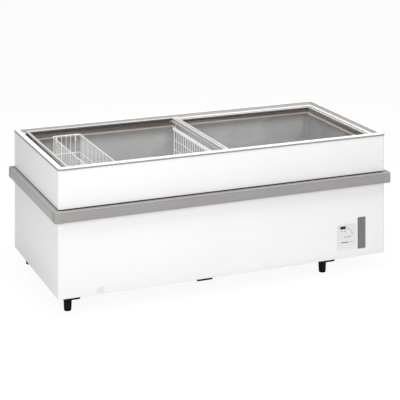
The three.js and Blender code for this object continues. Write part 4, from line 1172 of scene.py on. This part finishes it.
def build_cord():
    """The flex from the back panel down to the floor, with its grommet and two-pin plug."""
    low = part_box("power_cord")[0]
    exit_x = HALF_X - 17 * MM
    exit_z = 112 * MM
    out = HALF_Y + 14 * MM
    plug_x = low.x + 38 * MM
    run = mm((0, -12, 112), (0, 3, 112), (5, 12, 104), (24, 14, 58), (70, 14, 12), (170, 14, 5), (300, 14, 5))
    knots = [(exit_x - along, HALF_Y + away, z) for along, away, z in run]
    knots.append((plug_x, out, 9 * MM))
    flex = wire(spline(knots, 8), 4 * MM, 12)
    profile = mm((4.2, -3), (6.5, -3), (6.5, 1), (9, 1), (9, 3), (6, 4), (5, 12), (4.2, 12), (4.2, -3))
    grommet = turned(profile, (exit_x, HALF_Y, exit_z), "+Y", 24)
    add("cord_flex", together([flex, grommet]), BLACK_PLASTIC, node="power_cord", weld=False)
    half = 12 * MM
    plug = block((low.x, out - half, 1 * MM), (plug_x + 2 * MM, out + half, 25 * MM), 5, 4)
    add("cord_plug", plug, BLACK_PLASTIC)
    pin = mm((0, 0), (2.4, 0), (2.4, 14), (1.6, 15.4), (0, 15.6))
    pins = [turned(pin, (low.x + 10 * MM, out + side * 5 * MM, 24 * MM), "+Z", 16) for side in (-1, 1)]
    add("cord_plug_pins", together(pins), STEEL)


def spline(knots, steps):
    """A smooth path through the knots."""
    points = [Vector(k) for k in knots]
    padded = [points[0] * 2 - points[1]] + points + [points[-1] * 2 - points[-2]]
    path = []
    for a, b, c, d in zip(padded, padded[1:], padded[2:], padded[3:]):
        for k in range(steps):
            t = k / steps
            path.append(0.5 * (2 * b + (c - a) * t + (2 * a - 5 * b + 4 * c - d) * t ** 2
                               + (3 * b - a - 3 * c + d) * t ** 3))
    path.append(points[-1])
    return path


# ---- Carried-over CAD nodes ----

def finish_cad():
    paint_cad(FOAM, "insulation")
    paint_cad(GALVANISED, "base_pan", "condenser", "fan_shroud")
    # The waist band is painted black as painted shade: it darkens the gap above the bumper.
    paint_cad(BLACK_PAINT, "waist_band", "compressor", "fan_motor")
    paint_cad(BLACK_PLASTIC, "start_relay_box", "controller_box", "fan_blade")
    paint_cad(COPPER, "evaporator_coil", "filter_drier")
    paint_cad(DRAIN_GREY, "drain_pipe")


# ---- Floor, light and camera ----

AMBIENT = 0.42
FLOOR_GLOW = 0.9  # how much of the floor's look is plain white, the rest being lit
FLOOR_REACH = 60


def build_floor():
    """A pale floor that stays almost white, with soft shadows."""
    mesh = bpy.data.meshes.new("floor")
    corners = [(u * FLOOR_REACH, v * FLOOR_REACH, 0) for u, v in ((-1, -1), (1, -1), (1, 1), (-1, 1))]
    mesh.from_pydata(corners, [], [(0, 1, 2, 3)])
    floor = as_object("floor", mesh)
    nodes = Nodes("pale_floor")
    shadowed = nodes.new("ShaderNodeBsdfDiffuse", Color=(0.72, 0.72, 0.72, 1))
    glow = nodes.new("ShaderNodeEmission", Color=(1, 1, 1, 1), Strength=1.04)
    seen = nodes.new("ShaderNodeLightPath").outputs["Is Camera Ray"]
    share = nodes.spread(seen, 0.0, FLOOR_GLOW, 0, 1)
    mesh.materials.append(nodes.two_shaders(share, shadowed.outputs["BSDF"], glow.outputs["Emission"]))


def area_light(name, at, target, size, power):
    data = bpy.data.lights.new(name, "AREA")
    data.shape = "RECTANGLE"
    data.size, data.size_y = size
    data.energy = power
    light = as_object(name, data)
    light.location = at
    light.rotation_euler = (Vector(target) - Vector(at)).to_track_quat("-Z", "Y").to_euler()
    light.visible_camera = False


def build_light():
    """A world that looks white but lights dimly, and three soft boxes."""
    world = bpy.data.worlds.new("studio")
    bpy.context.scene.world = world
    world.use_nodes = True
    tree = world.node_tree
    back = tree.nodes["Background"]
    path = tree.nodes.new("ShaderNodeLightPath")
    level = tree.nodes.new("ShaderNodeMapRange")
    tree.links.new(path.outputs["Is Camera Ray"], level.inputs["Value"])
    level.inputs["To Min"].default_value = AMBIENT
    level.inputs["To Max"].default_value = 1.0
    tree.links.new(level.outputs["Result"], back.inputs["Strength"])
    back.inputs["Color"].default_value = (1, 1, 1, 1)
    area_light("front_softbox", (1.2, -5.2, 2.6), (0.2, 0, 0.5), (4.5, 3.0), 54)
    area_light("top_softbox", (0.2, -0.6, 4.2), (0.2, 0, 0.6), (4.5, 3.0), 150)
    area_light("left_softbox", (-4.2, -3.4, 2.0), (-0.9, -0.3, 0.5), (2.0, 2.0), 82)


CAMERA_OFFSET = (-2.904, -9.885, 3.844)  # from the skirt's front left corner, in body heights
CAMERA_YAW = 22.39  # degrees
CAMERA_DROP = 0.3004  # how far the lens looks down, per length ahead
CAMERA_LENS = 120.87  # millimetres, on a 36 mm sensor


def build_camera():
    """A camera set up like a view camera: its back stays upright, so the cabinet's uprights stay parallel.

    The lens looks down by a shear of the camera's own axes, held in the parent inverse, and not by a tilt.
    """
    corner = Vector((-HALF_X, -HALF_Y, SKIRT))
    at = corner + (RIM_EDGE - SKIRT) * Vector(CAMERA_OFFSET)
    yaw = math.radians(CAMERA_YAW)
    forward = Vector((math.sin(yaw), math.cos(yaw), 0))
    right = Vector((math.cos(yaw), -math.sin(yaw), 0))
    up = Vector((0, 0, 1))
    look = (forward - CAMERA_DROP * up).normalized()
    data = bpy.data.cameras.new("camera")
    data.sensor_width = 36
    data.lens = CAMERA_LENS * math.sqrt(1 + CAMERA_DROP ** 2)
    data.clip_end = 100
    camera = as_object("camera", data)
    camera.parent = as_object("camera_stand", None)
    axes = Matrix((right, up, -look)).transposed().to_4x4()
    axes.translation = at
    camera.matrix_parent_inverse = axes
    bpy.context.scene.camera = camera


def set_view():
    view = bpy.context.scene.view_settings
    view.view_transform = "Standard"
    view.look = "None"


build_body()
build_bumper()
build_rim()
build_rails()
build_tank()
build_lids()
build_basket()
build_divider()
build_controls()
build_grille()
build_rear_cover()
build_beams()
build_feet()
build_drain()
build_cord()
finish_cad()
build_floor()
build_light()
build_camera()
set_view()
